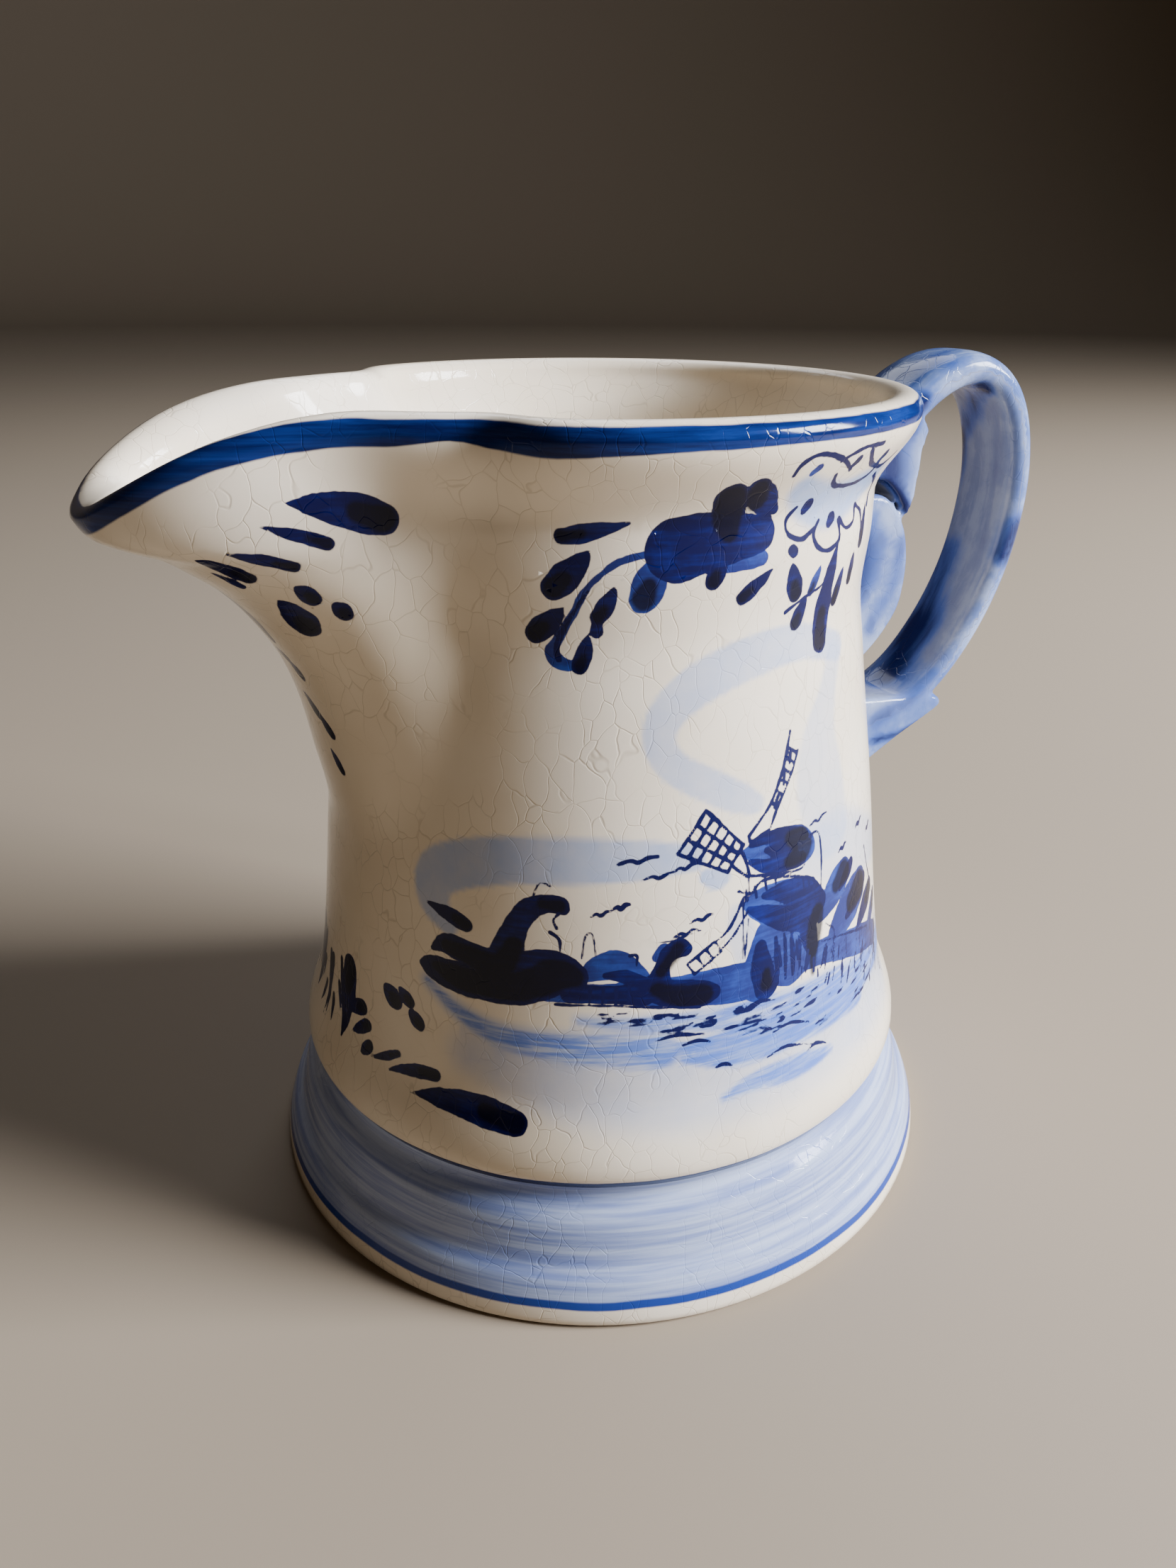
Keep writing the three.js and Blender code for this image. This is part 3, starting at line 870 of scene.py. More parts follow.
    def near_bank(self) -> None:
        """Lay the dark bank on the left with its bent tree, mound and leaf."""
        add = self.painting.add
        add(Pigment.DEEP, (210.9, 44.3, 0.2), (213.8, 44.3, 1.6), (218, 43.9, 2.1), (224, 43.8, 2.2),
            (231, 44.0, 2.1), (236, 44.6, 1.4))
        add(Pigment.DEEP, (213.8, 46.9, 0.4), (216.8, 48.0, 1.4), (221, 47.4, 1.7), (226, 46.6, 1.9),
            (231, 45.6, 2.0))
        add(Pigment.DEEP, (227.6, 46.4, 2.3), (228.9, 50.1, 1.9), (230.4, 52.6, 1.5), (232.6, 54.6, 1.35),
            (235.4, 55.35, 1.2), (237.7, 55.35, 1.1), (238.4, 54.9, 0.8))
        add(Pigment.DEEP, (232.4, 46.6, 2.6), (236.6, 46.9, 2.7), (239.6, 46.3, 2.0), (241.0, 46.1, 1.1))
        add(Pigment.POOL, (214.6, 44.6, 0.7), (219, 44.0, 1.6), (226, 43.9, 1.8), (232, 44.6, 2.0),
            (237, 46.4, 2.1), (240, 46.2, 1.3))
        add(Pigment.POOL, (216.6, 47.8, 0.8), (221, 47.2, 1.3), (227, 46.6, 1.6), (229.6, 49.6, 1.2))
        add(Pigment.POOL, (234.6, 55.3, 0.7), (237.6, 55.2, 0.8))
        self.painting.leaf((212.2, 52.7), (221.9, 50.7), 2.2, 0.25)
        for stem in (
            ((233.0, 56.0), (234.2, 57.9), (236.0, 57.6)), ((237.6, 54.2), (236.6, 53.4), (237.2, 52.4)),
            ((236.0, 51.8), (237.6, 51.0), (237.8, 49.4)),
        ):
            self.painting.line(*stem, half=0.16)

    def far_bank(self) -> None:
        """Lay the land with the farm, the round tree and the haystack."""
        add, line = self.painting.add, self.painting.line
        add(Pigment.MID, (233, 43.6, 0.9), (241, 44.0, 1.2), (249, 44.0, 1.5), (256, 43.7, 1.9),
            (263, 43.4, 2.4), (269, 43.1, 2.6), (274, 43.0, 2.4))
        add(Pigment.MID, (284, 42.6, 1.4), (291, 42.2, 1.9), (298, 40.6, 2.0), (306, 38.8, 2.1),
            (316, 36.0, 1.8))
        add(Pigment.MID, (242.6, 46.6, 1.0), (244.6, 47.4, 1.7), (247.2, 47.7, 2.0), (249.8, 46.8, 1.7),
            (251.6, 45.8, 1.2))
        add(Pigment.DEEP, (239.6, 44.0, 1.3), (246, 43.9, 1.2), (252, 43.7, 1.5))
        add(Pigment.DEEP, (245.6, 46.4, 0.5), (249.0, 46.2, 0.9), (251.8, 45.2, 1.0))
        add(Pigment.DEEP, (249.6, 46.2, 0.5), (252.8, 44.6, 1.3), (257.5, 43.3, 1.9), (262, 42.8, 1.8),
            (264.3, 42.7, 1.2))
        add(Pigment.DEEP, (254.6, 45.2, 1.5), (255.3, 47.2, 0.9), (256.6, 48.8, 1.1), (258.4, 49.3, 1.25),
            (259.3, 49.1, 1.0))
        add(Pigment.POOL, (254.4, 44.2, 0.9), (258.6, 43.0, 1.5), (262.6, 42.7, 1.4))
        add(Pigment.POOL, (255.0, 46.4, 0.6), (258.2, 49.2, 0.9))
        add(Pigment.MID, (254.4, 48.4, 0.6), (255.6, 49.4, 0.8))
        line((241.5, 48.6), (242.0, 51.2), (242.8, 51.9), (243.5, 51.4), (243.9, 48.8), half=0.15)
        line((249.8, 48.9), (250.9, 48.9), (250.9, 47.6), half=0.2)
        line((254.2, 50.4), (257.6, 50.4), (262.4, 51.2), half=0.14)
        for angle in (242.8, 245.0, 247.2, 249.4):
            line((angle, 42.7), (angle + 0.2, 45.0), half=0.2)
        line((237, 42.5), (248, 42.4), (262, 41.0), half=0.2)

    def mill(self) -> None:
        """Lay the windmill: cap, body, tower, three sails and the gallery rail."""
        add, line, sail = self.painting.add, self.painting.line, self.painting.sail
        add(Pigment.MID, (271.2, 59.8, 0.4), (274.6, 59.3, 1.7), (278.4, 59.0, 2.6), (283.0, 58.4, 2.8),
            (285.4, 57.8, 2.0))
        add(Pigment.DEEP, (272.6, 60.5, 0.3), (276.6, 60.9, 0.8), (281, 60.6, 0.9), (285.4, 59.6, 0.8))
        add(Pigment.DEEP, (272.4, 58.4, 0.4), (275.6, 57.4, 0.9), (280, 56.9, 1.1), (284.4, 56.6, 1.0))
        add(Pigment.DEEP, (276.0, 59.3, 0.4), (278.6, 58.9, 1.2), (281.0, 58.4, 1.8))
        add(Pigment.POOL, (281.6, 59.9, 0.9), (284.4, 58.9, 1.7), (284.6, 57.6, 1.6), (281.4, 56.9, 0.9))
        add(Pigment.MID, (271.2, 53.1, 0.4), (274.2, 52.7, 2.0), (278.8, 51.8, 3.1), (284, 50.6, 3.5),
            (287.6, 49.4, 2.6))
        add(Pigment.DEEP, (271.8, 52.4, 0.4), (275.4, 51.2, 1.2), (279, 49.9, 1.6), (283.4, 48.9, 2.0),
            (286.6, 48.4, 2.0))
        add(Pigment.DEEP, (275.2, 53.6, 0.5), (280, 53.2, 1.5), (285.4, 51.6, 2.2), (289.2, 49.6, 1.5))
        add(Pigment.MID, (284.0, 47.2, 2.0), (284.6, 44.2, 2.2))
        add(Pigment.DEEP, (285.0, 48.4, 1.5), (286.2, 45.8, 1.6), (286.8, 43.4, 1.0))
        add(Pigment.POOL, (288.7, 48.2, 1.3), (287.6, 45.8, 1.6), (287.0, 43.0, 1.0), (286.9, 40.2, 0.35))
        add(Pigment.MID, (275.6, 48.6, 1.8), (274.0, 44.8, 2.3), (273.6, 42.0, 2.3))
        add(Pigment.MID, (279.8, 46.8, 2.7), (280.2, 43.2, 2.9), (283.6, 43.2, 2.4))
        add(Pigment.DEEP, (274.2, 47.0, 0.9), (274.4, 44.0, 1.7), (275.2, 41.4, 1.8))
        for angle, low, high, half in (
            (277.6, 41.2, 47.6, 0.45), (279.6, 41.4, 48.0, 0.35), (281.4, 41.4, 47.4, 0.5),
            (283.2, 42.0, 46.4, 0.35),
        ):
            add(Pigment.DEEP, (angle, high, half * 0.5), (angle + 0.2, (low + high) / 2, half),
                (angle + 0.1, low, 0.2))
        add(Pigment.POOL, (275.4, 43.4, 0.6), (275.2, 41.8, 1.0))
        sail((269.3, 59.35), (261.05, 63.5), 6.0, 6, 4, root_width=3.7, half=0.26)
        sail((265.6, 48.6), (260.4, 46.3), 1.7, 4, 2, root_width=1.7, half=0.2)
        line((272.2, 61.7), (274.5, 63.1), (277.2, 64.9), (279.7, 67.5), (281.4, 70.0), (282.8, 73.0),
             half=0.26)
        line((276.9, 61.8), (279.1, 64.5), (281.5, 66.6), (283.4, 68.6), (284.7, 70.4), half=0.22)
        for left, right in (
            ((277.4, 65.2), (279.0, 64.3)), ((278.6, 66.4), (280.3, 65.6)), ((279.7, 67.6), (281.6, 66.8)),
            ((280.6, 68.8), (282.6, 67.9)), ((281.4, 70.0), (283.6, 69.0)), ((282.0, 71.2), (284.3, 70.2)),
            ((278.2, 64.4), (279.4, 66.0)), ((280.6, 66.8), (281.0, 68.2)), ((282.4, 69.2), (282.8, 70.6)),
        ):
            line(left, right, half=0.24)
        line((272.2, 61.7), (272.6, 60.9), (274.4, 61.3), (277.0, 61.9), half=0.2)
        line((270.8, 54.2), (268.0, 50.8), (265.2, 49.3), half=0.22)
        line((271.6, 52.2), (268.5, 49.5), (265.6, 47.9), half=0.18)
        line((270.7, 54.2), (270.4, 46.2), half=0.15)
        line((271.7, 51.2), (270.8, 46.1), half=0.15)
        line((268.4, 58.7), (270.4, 57.4), (271.9, 56.7), (271.6, 58.2), (270.8, 59.8), half=0.24)
        line((271.9, 56.7), (277.3, 56.0), (283.6, 55.3), (285.4, 55.8), half=0.2)
        line((271.9, 56.7), (271.8, 54.2), half=0.18)
        line((269.8, 55.1), (272.4, 54.4), (274.7, 55.6), (279.9, 55.2), (287.5, 53.2), (287.5, 51.6),
             half=0.22)
        for angle, z in (
            (271.2, 54.0), (273.2, 54.0), (275.4, 54.6), (277.6, 54.9), (284.6, 52.9), (286.2, 52.4),
        ):
            line((angle, z + 1.2), (angle + 0.3, z - 0.3), half=0.2)
        line((287.0, 59.0), (289.0, 59.2), (290.0, 58.0), (290.2, 54.6), (289.8, 51.2), half=0.18)
        for angle, low, high in (
            (278.4, 43.4, 46.2), (279.8, 43.6, 47.0), (281.2, 43.8, 46.6), (282.6, 43.2, 46.0),
        ):
            line((angle, high), (angle + 0.3, low), half=0.22)

    def right_bank(self) -> None:
        """Lay the trees beyond the mill and the far steeple."""
        add, leaf, line = self.painting.add, self.painting.leaf, self.painting.line
        leaf((288.6, 46.6), (300.8, 52.2), 4.8, 0.5, body=Pigment.MID)
        leaf((291.2, 42.6), (309.0, 47.8), 6.4, 0.6, body=Pigment.MID)
        add(Pigment.DEEP, (296.4, 49.4, 0.5), (299.6, 50.8, 1.1), (301.4, 51.8, 0.8))
        add(Pigment.DEEP, (299.0, 44.6, 0.6), (304.4, 46.0, 1.5), (308.0, 47.2, 1.2))
        leaf((303.0, 41.0), (315.0, 44.6), 3.6, 0.3)
        leaf((309.0, 38.6), (319.0, 42.0), 3.0, -0.2, body=Pigment.MID)
        line((309.6, 51.6), (311.6, 47.8), (316.0, 42.2), half=0.18)
        line((291.0, 46.0), (294.0, 44.0), (292.6, 41.2), half=0.15)
        line((289.6, 43.8), (298.7, 42.1), (310.0, 39.2), half=0.18)

    def birds(self) -> None:
        """Scatter the far birds between clouds and mill."""
        for angle, z, span in ((251.3, 60.5, 7), (259.6, 59.1, 4.5), (255.0, 58.4, 6.5), (244.8, 54.1, 3.4),
                               (248.2, 54.9, 3.2), (262.6, 52.4, 4.6), (259.6, 50.9, 4.4), (289.8, 60.4, 5.4),
                               (298.0, 54.6, 3.6), (306.3, 55.8, 4.4), (312.9, 53.2, 4)):
            self.painting.bird(angle, z, span)

    def build(self) -> None:
        """Lay the whole picture."""
        for part in (
            self.clouds, self.water, self.far_bank, self.near_bank, self.mill, self.right_bank, self.grass,
            self.birds,
        ):
            part()


@dataclass
class Sprays:
    """The leaf and flower sprays under the rim, on the spout and above the foot."""

    painting: Painting
    petal_pen: float = 0.29

    def turned(self, angle: float, back: bool) -> float:
        """Give an angle on the painted side, or its mirror image on the far side."""
        return 360 - angle if back else angle

    def under_rim(self, back: bool) -> None:
        """Lay the stem with its leaves and the dark flower head.

        Args:
            back: Whether the spray lies on the far side.
        """
        def leaf(tip: tuple[float, float], heel: tuple[float, float], width: float, bend: float = 0.0,
                 body: Pigment = Pigment.DEEP) -> None:
            """Lay one leaf of this spray."""
            self.painting.leaf((self.turned(tip[0], back), tip[1]), (self.turned(heel[0], back), heel[1]),
                width, -bend if back else bend, body=body)

        def add(pigment: Pigment, *path: PathPoint) -> None:
            """Lay one stroke of this spray."""
            self.painting.add(pigment, *[(self.turned(angle, back), z, half) for angle, z, half in path])

        leaf((250.0, 98.9), (237.0, 97.3), 2.1, 0.2)
        leaf((243.2, 96.0), (235.2, 91.0), 3.3, 0.2)
        leaf((238.6, 89.8), (231.6, 86.0), 2.8, 0.2)
        leaf((247.6, 92.2), (243.6, 88.0), 2.2, 0.2)
        add(Pigment.DEEP, (244.2, 87.8, 0.6), (244.2, 87.0, 0.8))
        leaf((242.9, 86.9), (240.7, 82.2), 2.0, 0.1)
        leaf((255.2, 95.4), (251.4, 89.2), 3.9, 0.1, body=Pigment.MID)
        add(Pigment.MID, (254.6, 95.7, 0.36), (248.1, 94.7, 0.4), (242.9, 92.1, 0.42), (240.1, 89.0, 0.46),
            (237.4, 86.2, 0.6), (236.3, 84.7, 0.85), (237.3, 83.6, 0.9), (239.3, 83.2, 0.6),
            (240.6, 83.6, 0.4))
        add(Pigment.DEEP, (244.6, 93.2, 0.1), (240.2, 89.2, 0.24), (237.2, 85.6, 0.4), (237.4, 83.8, 0.4))
        add(Pigment.DEEP, (258.2, 95.8, 3.6), (263, 96.4, 3.3), (268, 96.7, 2.8), (273.6, 96.8, 2.2))
        add(Pigment.POOL, (266.4, 101.0, 1.7), (266.9, 99.0, 1.8), (267.6, 97.4, 1.2))
        add(Pigment.POOL, (270.9, 101.9, 1.2), (271.6, 100.6, 1.3))
        add(Pigment.DEEP, (266.4, 101.0, 1.9), (267.2, 98.6, 2.0))
        add(Pigment.DEEP, (270.8, 101.8, 1.5), (273.4, 100.4, 1.5), (276.4, 99.2, 0.4))
        add(Pigment.MID, (267.2, 93.8, 0.9), (271, 94.2, 1.3), (274.4, 94.2, 1.0))
        leaf((266.8, 95.0), (264.4, 91.2), 2.3)
        leaf((277.4, 92.8), (270.0, 89.4), 1.9, 0.1)
        add(Pigment.DEEP, (281.7, 94.4, 0.7), (282.1, 94.2, 0.7))
        leaf((282.0, 92.9), (284.6, 88.2), 2.7)
        leaf((287.4, 88.6), (284.2, 84.8), 2.1)
        leaf((290.6, 92.0), (288.0, 88.4), 1.5, body=Pigment.MID)
        leaf((295.8, 94.4), (292.7, 81.0), 3.4, -0.3)
        leaf((300.0, 91.0), (297.4, 86.0), 1.8)
        leaf((304.0, 92.2), (303.8, 87.8), 1.7)
        leaf((308.4, 97.4), (306.8, 92.0), 1.9)
        add(Pigment.LINE,
            *[(angle, z, 0.24) for angle, z in ((281.8, 87.2), (287.0, 88.5), (291.4, 89.2), (294.2, 90.4))])

    def open_flower(self) -> None:
        """Lay the open flower by its petals' outlines, with dark eyes and a thin wash inside."""
        add = self.painting.add
        for outline in (
            ((276.5, 103.3), (277.1, 104.6), (280.2, 105.4), (285.5, 104.6), (290.4, 102.9)),
            ((285.9, 104.3), (290.3, 105.4), (296.2, 105.5)),
            ((286.9, 102.6), (288.2, 101.4), (291.6, 100.9), (296.6, 100.9), (300.1, 101.7), (300.0, 103.4)),
            ((293.0, 105.1), (296.5, 103.2), (303.6, 102.3), (307.0, 103.6)),
            ((281.4, 99.2), (279.5, 97.8), (280.4, 96.3), (283.9, 95.5), (287.2, 96.4)),
            ((288.4, 97.2), (287.1, 95.8), (288.7, 94.2), (292.1, 93.4), (296.0, 94.3), (295.0, 96.6)),
            ((295.3, 96.8), (298.4, 95.4), (301.6, 95.9), (301.6, 97.6)),
            ((301.6, 97.8), (305.2, 96.6), (306.6, 94.4)),
            ((303.8, 101.2), (308.8, 99.6), (309.6, 97.0)),
        ):
            self.painting.line(*outline, half=self.petal_pen)
        for angle, z, half in (
            (283.9, 99.0, 0.75), (292.0, 96.8, 0.75), (290.3, 103.7, 0.6), (299.7, 103.6, 0.6),
        ):
            add(Pigment.DEEP, (angle - 0.3, z - 0.3, half * 0.8), (angle + 0.4, z + 0.3, half))
        add(Pigment.MID, (280.4, 103.3, 0.4), (281.2, 103.8, 0.5))
        add(Pigment.WASH, (280.6, 101.2, 1.8), (285, 99.6, 2.6), (291, 98.8, 2.8), (298, 99.6, 2.6),
            (305, 100.6, 1.8), strength=0.9, soft=0.8)

    def spout_side(self) -> None:
        """Lay the falling leaves on both sides of the spout, in X and Z."""
        leaf = self.painting.leaf
        side = Chart.SPOUT
        leaf((-43.9, 100.7), (-32.9, 97.9), 4.1, 0.55, side)
        leaf((-46.9, 98.5), (-39.6, 96.2), 1.6, 0.1, side)
        leaf((-50.2, 95.6), (-43.0, 93.7), 1.5, 0.2, side)
        leaf((-52.9, 94.8), (-47.2, 92.0), 1.7, 0.2, side)
        leaf((-51.2, 92.8), (-48.0, 91.0), 0.8, 0.0, side, pool=False)
        leaf((-43.6, 91.6), (-41.2, 89.4), 2.0, 0.1, side)
        leaf((-40.0, 89.6), (-38.2, 87.6), 1.9, 0.1, side)
        leaf((-45.0, 89.6), (-41.5, 85.1), 2.9, 0.2, side)

    def keel(self, back: bool) -> None:
        """Lay the short strokes that run down beside the spout's keel."""
        for tip, heel, width in (((183.4, 95.0), (185.8, 82.0), 1.9), ((183.2, 81.2), (187.2, 79.8), 1.4),
                                 ((186.4, 80.0), (189.2, 77.6), 1.5), ((185.2, 75.6), (189.5, 72.5), 1.7),
                                 ((188.9, 73.3), (192.4, 70.4), 1.6), ((189.6, 68.6), (192.5, 65.5), 1.5)):
            self.painting.leaf((self.turned(tip[0], back), tip[1]), (self.turned(heel[0], back), heel[1]),
                width)

    def above_foot(self, back: bool) -> None:
        """Lay the plant that stands above the foot beside the keel.

        Args:
            back: Whether the plant lies on the far side.
        """
        for tip, heel, width, bend in (
            ((189.2, 26.6), (190.2, 39.0), 4.4, 0.2), ((187.4, 30.0), (185.6, 37.4), 1.1, 0.0),
            ((186.8, 29.2), (185.0, 33.4), 1.2, 0.0), ((190.6, 31.0), (196.8, 33.6), 2.4, 0.3),
            ((192.4, 28.6), (198.6, 31.6), 2.0, 0.2), ((196.4, 27.2), (199.4, 29.2), 2.0, 0.0),
            ((199.6, 27.6), (207.0, 30.4), 1.3, -0.1), ((204.4, 27.4), (216.2, 29.6), 2.0, 0.5),
            ((210.4, 26.2), (232.6, 25.8), 3.9, 1.2), ((202.0, 38.6), (206.4, 36.6), 3.0, 0.0),
            ((205.8, 39.4), (209.6, 37.6), 2.0, 0.0), ((208.6, 37.0), (212.0, 35.0), 2.2, 0.0),
            ((179.4, 26.0), (181.0, 36.0), 1.6, 0.1), ((183.8, 26.4), (182.4, 30.6), 1.1, 0.0),
        ):
            self.painting.leaf((self.turned(tip[0], back), tip[1]), (self.turned(heel[0], back), heel[1]),
                width, -bend if back else bend)

    def build(self) -> None:
        """Lay the sprays of the painted side, and the plainer ones of the far side."""
        self.under_rim(back=False)
        self.open_flower()
        self.spout_side()
        for back in (False, True):
            self.keel(back)
            self.above_foot(back)
        self.under_rim(back=True)


def linear(hex_colour: str) -> tuple[float, float, float, float]:
    """Turn an sRGB hex colour into linear light.

    Args:
        hex_colour: Six hex digits after a hash sign.

    Returns:
        Red, green, blue and alpha.
    """
    channels = [int(hex_colour[i:i + 2], 16) / 255 for i in (1, 3, 5)]
    light = [c / 12.92 if c <= 0.04045 else ((c + 0.055) / 1.055) ** 2.4 for c in channels]
    return (light[0], light[1], light[2], 1.0)


def add_node(tree: bpy.types.NodeTree, kind: str, settings: dict | None = None,
             links: dict | None = None) -> bpy.types.Node:
    """Add a node to a tree.

    Args:
        tree: The node tree.
        kind: The node's type.
        settings: Properties by name, and input values by socket name or number.
        links: Output sockets by the input's name or number.

    Returns:
        The node.
    """
    node = tree.nodes.new(kind)
    for name, value in (settings or {}).items():
        if isinstance(name, str) and hasattr(node, name):
            setattr(node, name, value)
        else:
            node.inputs[name].default_value = value
    for name, source in (links or {}).items():
        tree.links.new(source, node.inputs[name])
    return node


@dataclass(frozen=True)
class TinGlaze:
    """Tin-glazed earthenware painted in cobalt under the gloss.

    Dipped in an opaque white glaze, painted and fired, it gives the eye a warm cream ground with a fine
    crackle, blue that is deep where the brush paused and pale where it ran thin, and one even gloss.
    """

    cream: str = "#EEE1CC"
    cream_shade: str = "#E2D2B8"
    crackle: str = "#A4947A"
    wash: str = "#94A7CC"
    wash_strong: str = "#3F66BE"
    mid: str = "#0C1D60"
    mid_thin: str = "#1E3B8A"
    pen: str = "#050B40"
    deep: str = "#03073A"
    deep_thin: str = "#091964"
    pool: str = "#010216"
    band_deep: str = "#081340"
    band: str = "#122A66"
    band_thin: str = "#254488"
    foot_pale: str = "#A0B4DA"
    foot_blue: str = "#4E6FB6"
    strap_pale: str = "#8D9DBF"
    strap_blue: str = "#586EA4"
    strap_streak: str = "#365094"
    # Darkest handle tone, for wash blotches and for painted shade in the crevices and under the rim.
    strap_blot_and_shade: str = "#080E3C"
    # Grey for the painted shade on the strap's inner face.
    strap_shade_grey: str = "#7A7B84"
    crackle_cell: float = 2.5
    crackle_width: float = 0.08
    crackle_upright: float = 0.6
    crackle_cover: float = 0.32
    warp_size: float = 7.0
    warp_reach: float = 4.0
    body_radius: float = 42.0
    brush_hair: float = 0.35
    edge_lumps: float = 2.2
    edge_wobble: float = 0.5
    edge_soft: float = 0.07
    pool_soft: float = 0.35
    waterline: tuple[float, float] = (42.0, 46.0)
    foot_top: tuple[float, float] = (18.2, 18.9)
    foot_bottom: tuple[float, float] = (3.0, 3.9)
    upper_ring: tuple[float, float] = (17.75, 19.15)
    lower_ring: tuple[float, float] = (2.7, 3.8)
    ring_soft: float = 0.15
    gloss: float = 0.08
    ior: float = 1.45
    mirror: float = 0.28

    def material(self) -> bpy.types.Material:
        """Build the node tree: ground, painting, lip band, foot and handle, one over the other.

        The handle carries painted shade on its inner face, in its crevices and under the rim.
        """
        material = bpy.data.materials.new("tin_glazed_earthenware")
        material.use_nodes = True
        tree = material.node_tree
        tree.nodes.clear()

        def sockets(values: dict) -> tuple[dict, dict]:
            """Split input values into settings and links, and turn hex colours into linear light."""
            settings, links = {}, {}
            for name, value in values.items():
                if isinstance(value, str):
                    settings[name] = linear(value)
                elif isinstance(value, (int, float)):
                    settings[name] = value
                else:
                    links[name] = value
            return settings, links

        def math_node(operation: str, *values: object, clamp: bool = False) -> object:
            """Add an arithmetic node and give its output."""
            settings, links = sockets(dict(enumerate(values)))
            settings |= {"operation": operation, "use_clamp": clamp}
            return add_node(tree, "ShaderNodeMath", settings, links).outputs[0]

        def times(a: object, b: object, clamp: bool = False) -> object:
            """Multiply two values."""
            return math_node("MULTIPLY", a, b, clamp=clamp)

        def swing(value: object, amount: float, base: object) -> object:
            """Move a base up and down by noise, whose middle is a half."""
            return math_node("MULTIPLY_ADD", math_node("SUBTRACT", value, 0.5), amount, base)

        def blend(a: object, share: float, b: object) -> object:
            """Average two values, the first by its share and the second by the rest."""
            return math_node("ADD", times(a, share), times(b, 1 - share))

        def mask(value: object, low: float, high: float) -> object:
            """Rise smoothly from 0 at low to 1 at high."""
            settings = {"interpolation_type": "SMOOTHSTEP", "From Min": low, "From Max": high}
            return add_node(tree, "ShaderNodeMapRange", settings, {"Value": value}).outputs[0]

        def below(value: object, low: float, high: float) -> object:
            """Fall smoothly from 1 at low to 0 at high."""
            return math_node("SUBTRACT", 1, mask(value, low, high))

        def mix(factor: object, under: object, over: object) -> object:
            """Lay one colour over another."""
            settings, links = sockets({0: factor, 6: under, 7: over})
            return add_node(tree, "ShaderNodeMix", {"data_type": "RGBA"} | settings, links).outputs[2]

        def layer(name: str) -> object:
            """Read one of the mesh's own values."""
            return add_node(tree, "ShaderNodeAttribute", {"attribute_name": name}).outputs["Fac"]

        def noise(vector: object, size: float, detail: float = 2.0, rough: float = 0.5,
                  **more: float) -> object:
            """Give noise whose lumps are about a size in millimetres."""
            settings = {"Scale": 1 / size, "Detail": detail, "Roughness": rough} | more
            return add_node(tree, "ShaderNodeTexNoise", settings, {"Vector": vector}).outputs["Fac"]

        def drawn_out(x: object, x_size: float, y: object, y_size: float) -> object:
            """Give a flat place whose unit is one size along x and another along y."""
            links = {0: math_node("DIVIDE", x, x_size), 1: math_node("DIVIDE", y, y_size)}
            return add_node(tree, "ShaderNodeCombineXYZ", {2: 0.0}, links).outputs[0]

        def vector_node(operation: str, vector: object, settings: dict, links: dict | None = None) -> object:
            """Add a vector arithmetic node and give its output."""
            settings = {"operation": operation} | settings
            return add_node(tree, "ShaderNodeVectorMath", settings, {0: vector} | (links or {})).outputs[0]

        coords = add_node(tree, "ShaderNodeTexCoord").outputs["Object"]
        place = vector_node("SCALE", coords, {"Scale": 1 / MM})
        parts = add_node(tree, "ShaderNodeSeparateXYZ", {}, {0: place}).outputs
        turn = math_node("ARCTAN2", times(parts[1], -1), times(parts[0], -1))
        around = times(turn, self.body_radius)
        height = parts[2]

        broad = noise(place, 22, 3)
        fine = noise(place, 1.6, 3)
        hairs = noise(drawn_out(around, 9, height, self.brush_hair * 2), 1.0, 4.0, 0.6)
        cloudy = noise(place, 5, 4, 0.6)
        wobble = times(math_node("SUBTRACT", noise(place, self.edge_lumps), 0.5), self.edge_wobble)

        settings = {"Scale": 1 / self.warp_size, "Detail": 2.0}
        warp = add_node(tree, "ShaderNodeTexNoise", settings, {"Vector": place}).outputs["Color"]
        drawn = vector_node("MULTIPLY", place, {1: (1, 1, self.crackle_upright)})
        bent = vector_node("MULTIPLY_ADD", warp, {1: (self.warp_reach,) * 3}, {2: drawn})
        settings = {"feature": "DISTANCE_TO_EDGE", "Scale": 1 / self.crackle_cell}
        net = add_node(tree, "ShaderNodeTexVoronoi", settings, {"Vector": bent}).outputs["Distance"]
        fissure = below(net, 0, self.crackle_width / self.crackle_cell)
        fissure = times(fissure, mask(noise(place, 12), 0.34, 0.58))

        colour = mix(mask(broad, 0.3, 0.75), self.cream, self.cream_shade)
        colour = mix(times(fissure, self.crackle_cover), colour, self.crackle)

        density = layer("paint_wash")
        wet = below(height, *self.waterline)
        cover = times(density, math_node("MULTIPLY_ADD", cloudy, 0.7, 0.62), clamp=True)
        colour = mix(cover, colour, self.wash)
        streaks = times(times(mask(density, 0.45, 0.9), mask(hairs, 0.34, 0.6)), wet)
        colour = mix(times(streaks, 0.8), colour, self.wash_strong)
        flood = times(mask(density, 0.8, 0.98), wet)
        colour = mix(times(flood, 0.5), colour, self.wash_strong)

        mid = mix(mask(blend(cloudy, 0.6, hairs), 0.42, 0.66), self.mid, self.mid_thin)
        deep = mix(mask(blend(cloudy, 0.5, hairs), 0.46, 0.72), self.deep, self.deep_thin)
        for name, tone, opacity, soft in (
            ("mid", mid, 0.99, self.edge_soft), ("deep", deep, 1.0, self.edge_soft),
            ("pool", self.pool, 0.9, self.pool_soft), ("line", self.pen, 1.0, self.edge_soft),
        ):
            cover = below(math_node("ADD", layer("paint_" + name), wobble), -soft, soft)
            colour = mix(times(cover, opacity), colour, tone)

        ragged = swing(noise(place, 7), 0.16, layer("band_share"))
        stripe = times(mask(ragged, -0.04, 0.05), below(ragged, 0.95, 1.05))
        flow = blend(hairs, 0.6, broad)
        band = mix(mask(flow, 0.34, 0.6), self.band_deep, self.band)
        band = mix(times(mask(flow, 0.52, 0.72), 0.6), band, self.band_thin)
        colour = mix(stripe, colour, band)

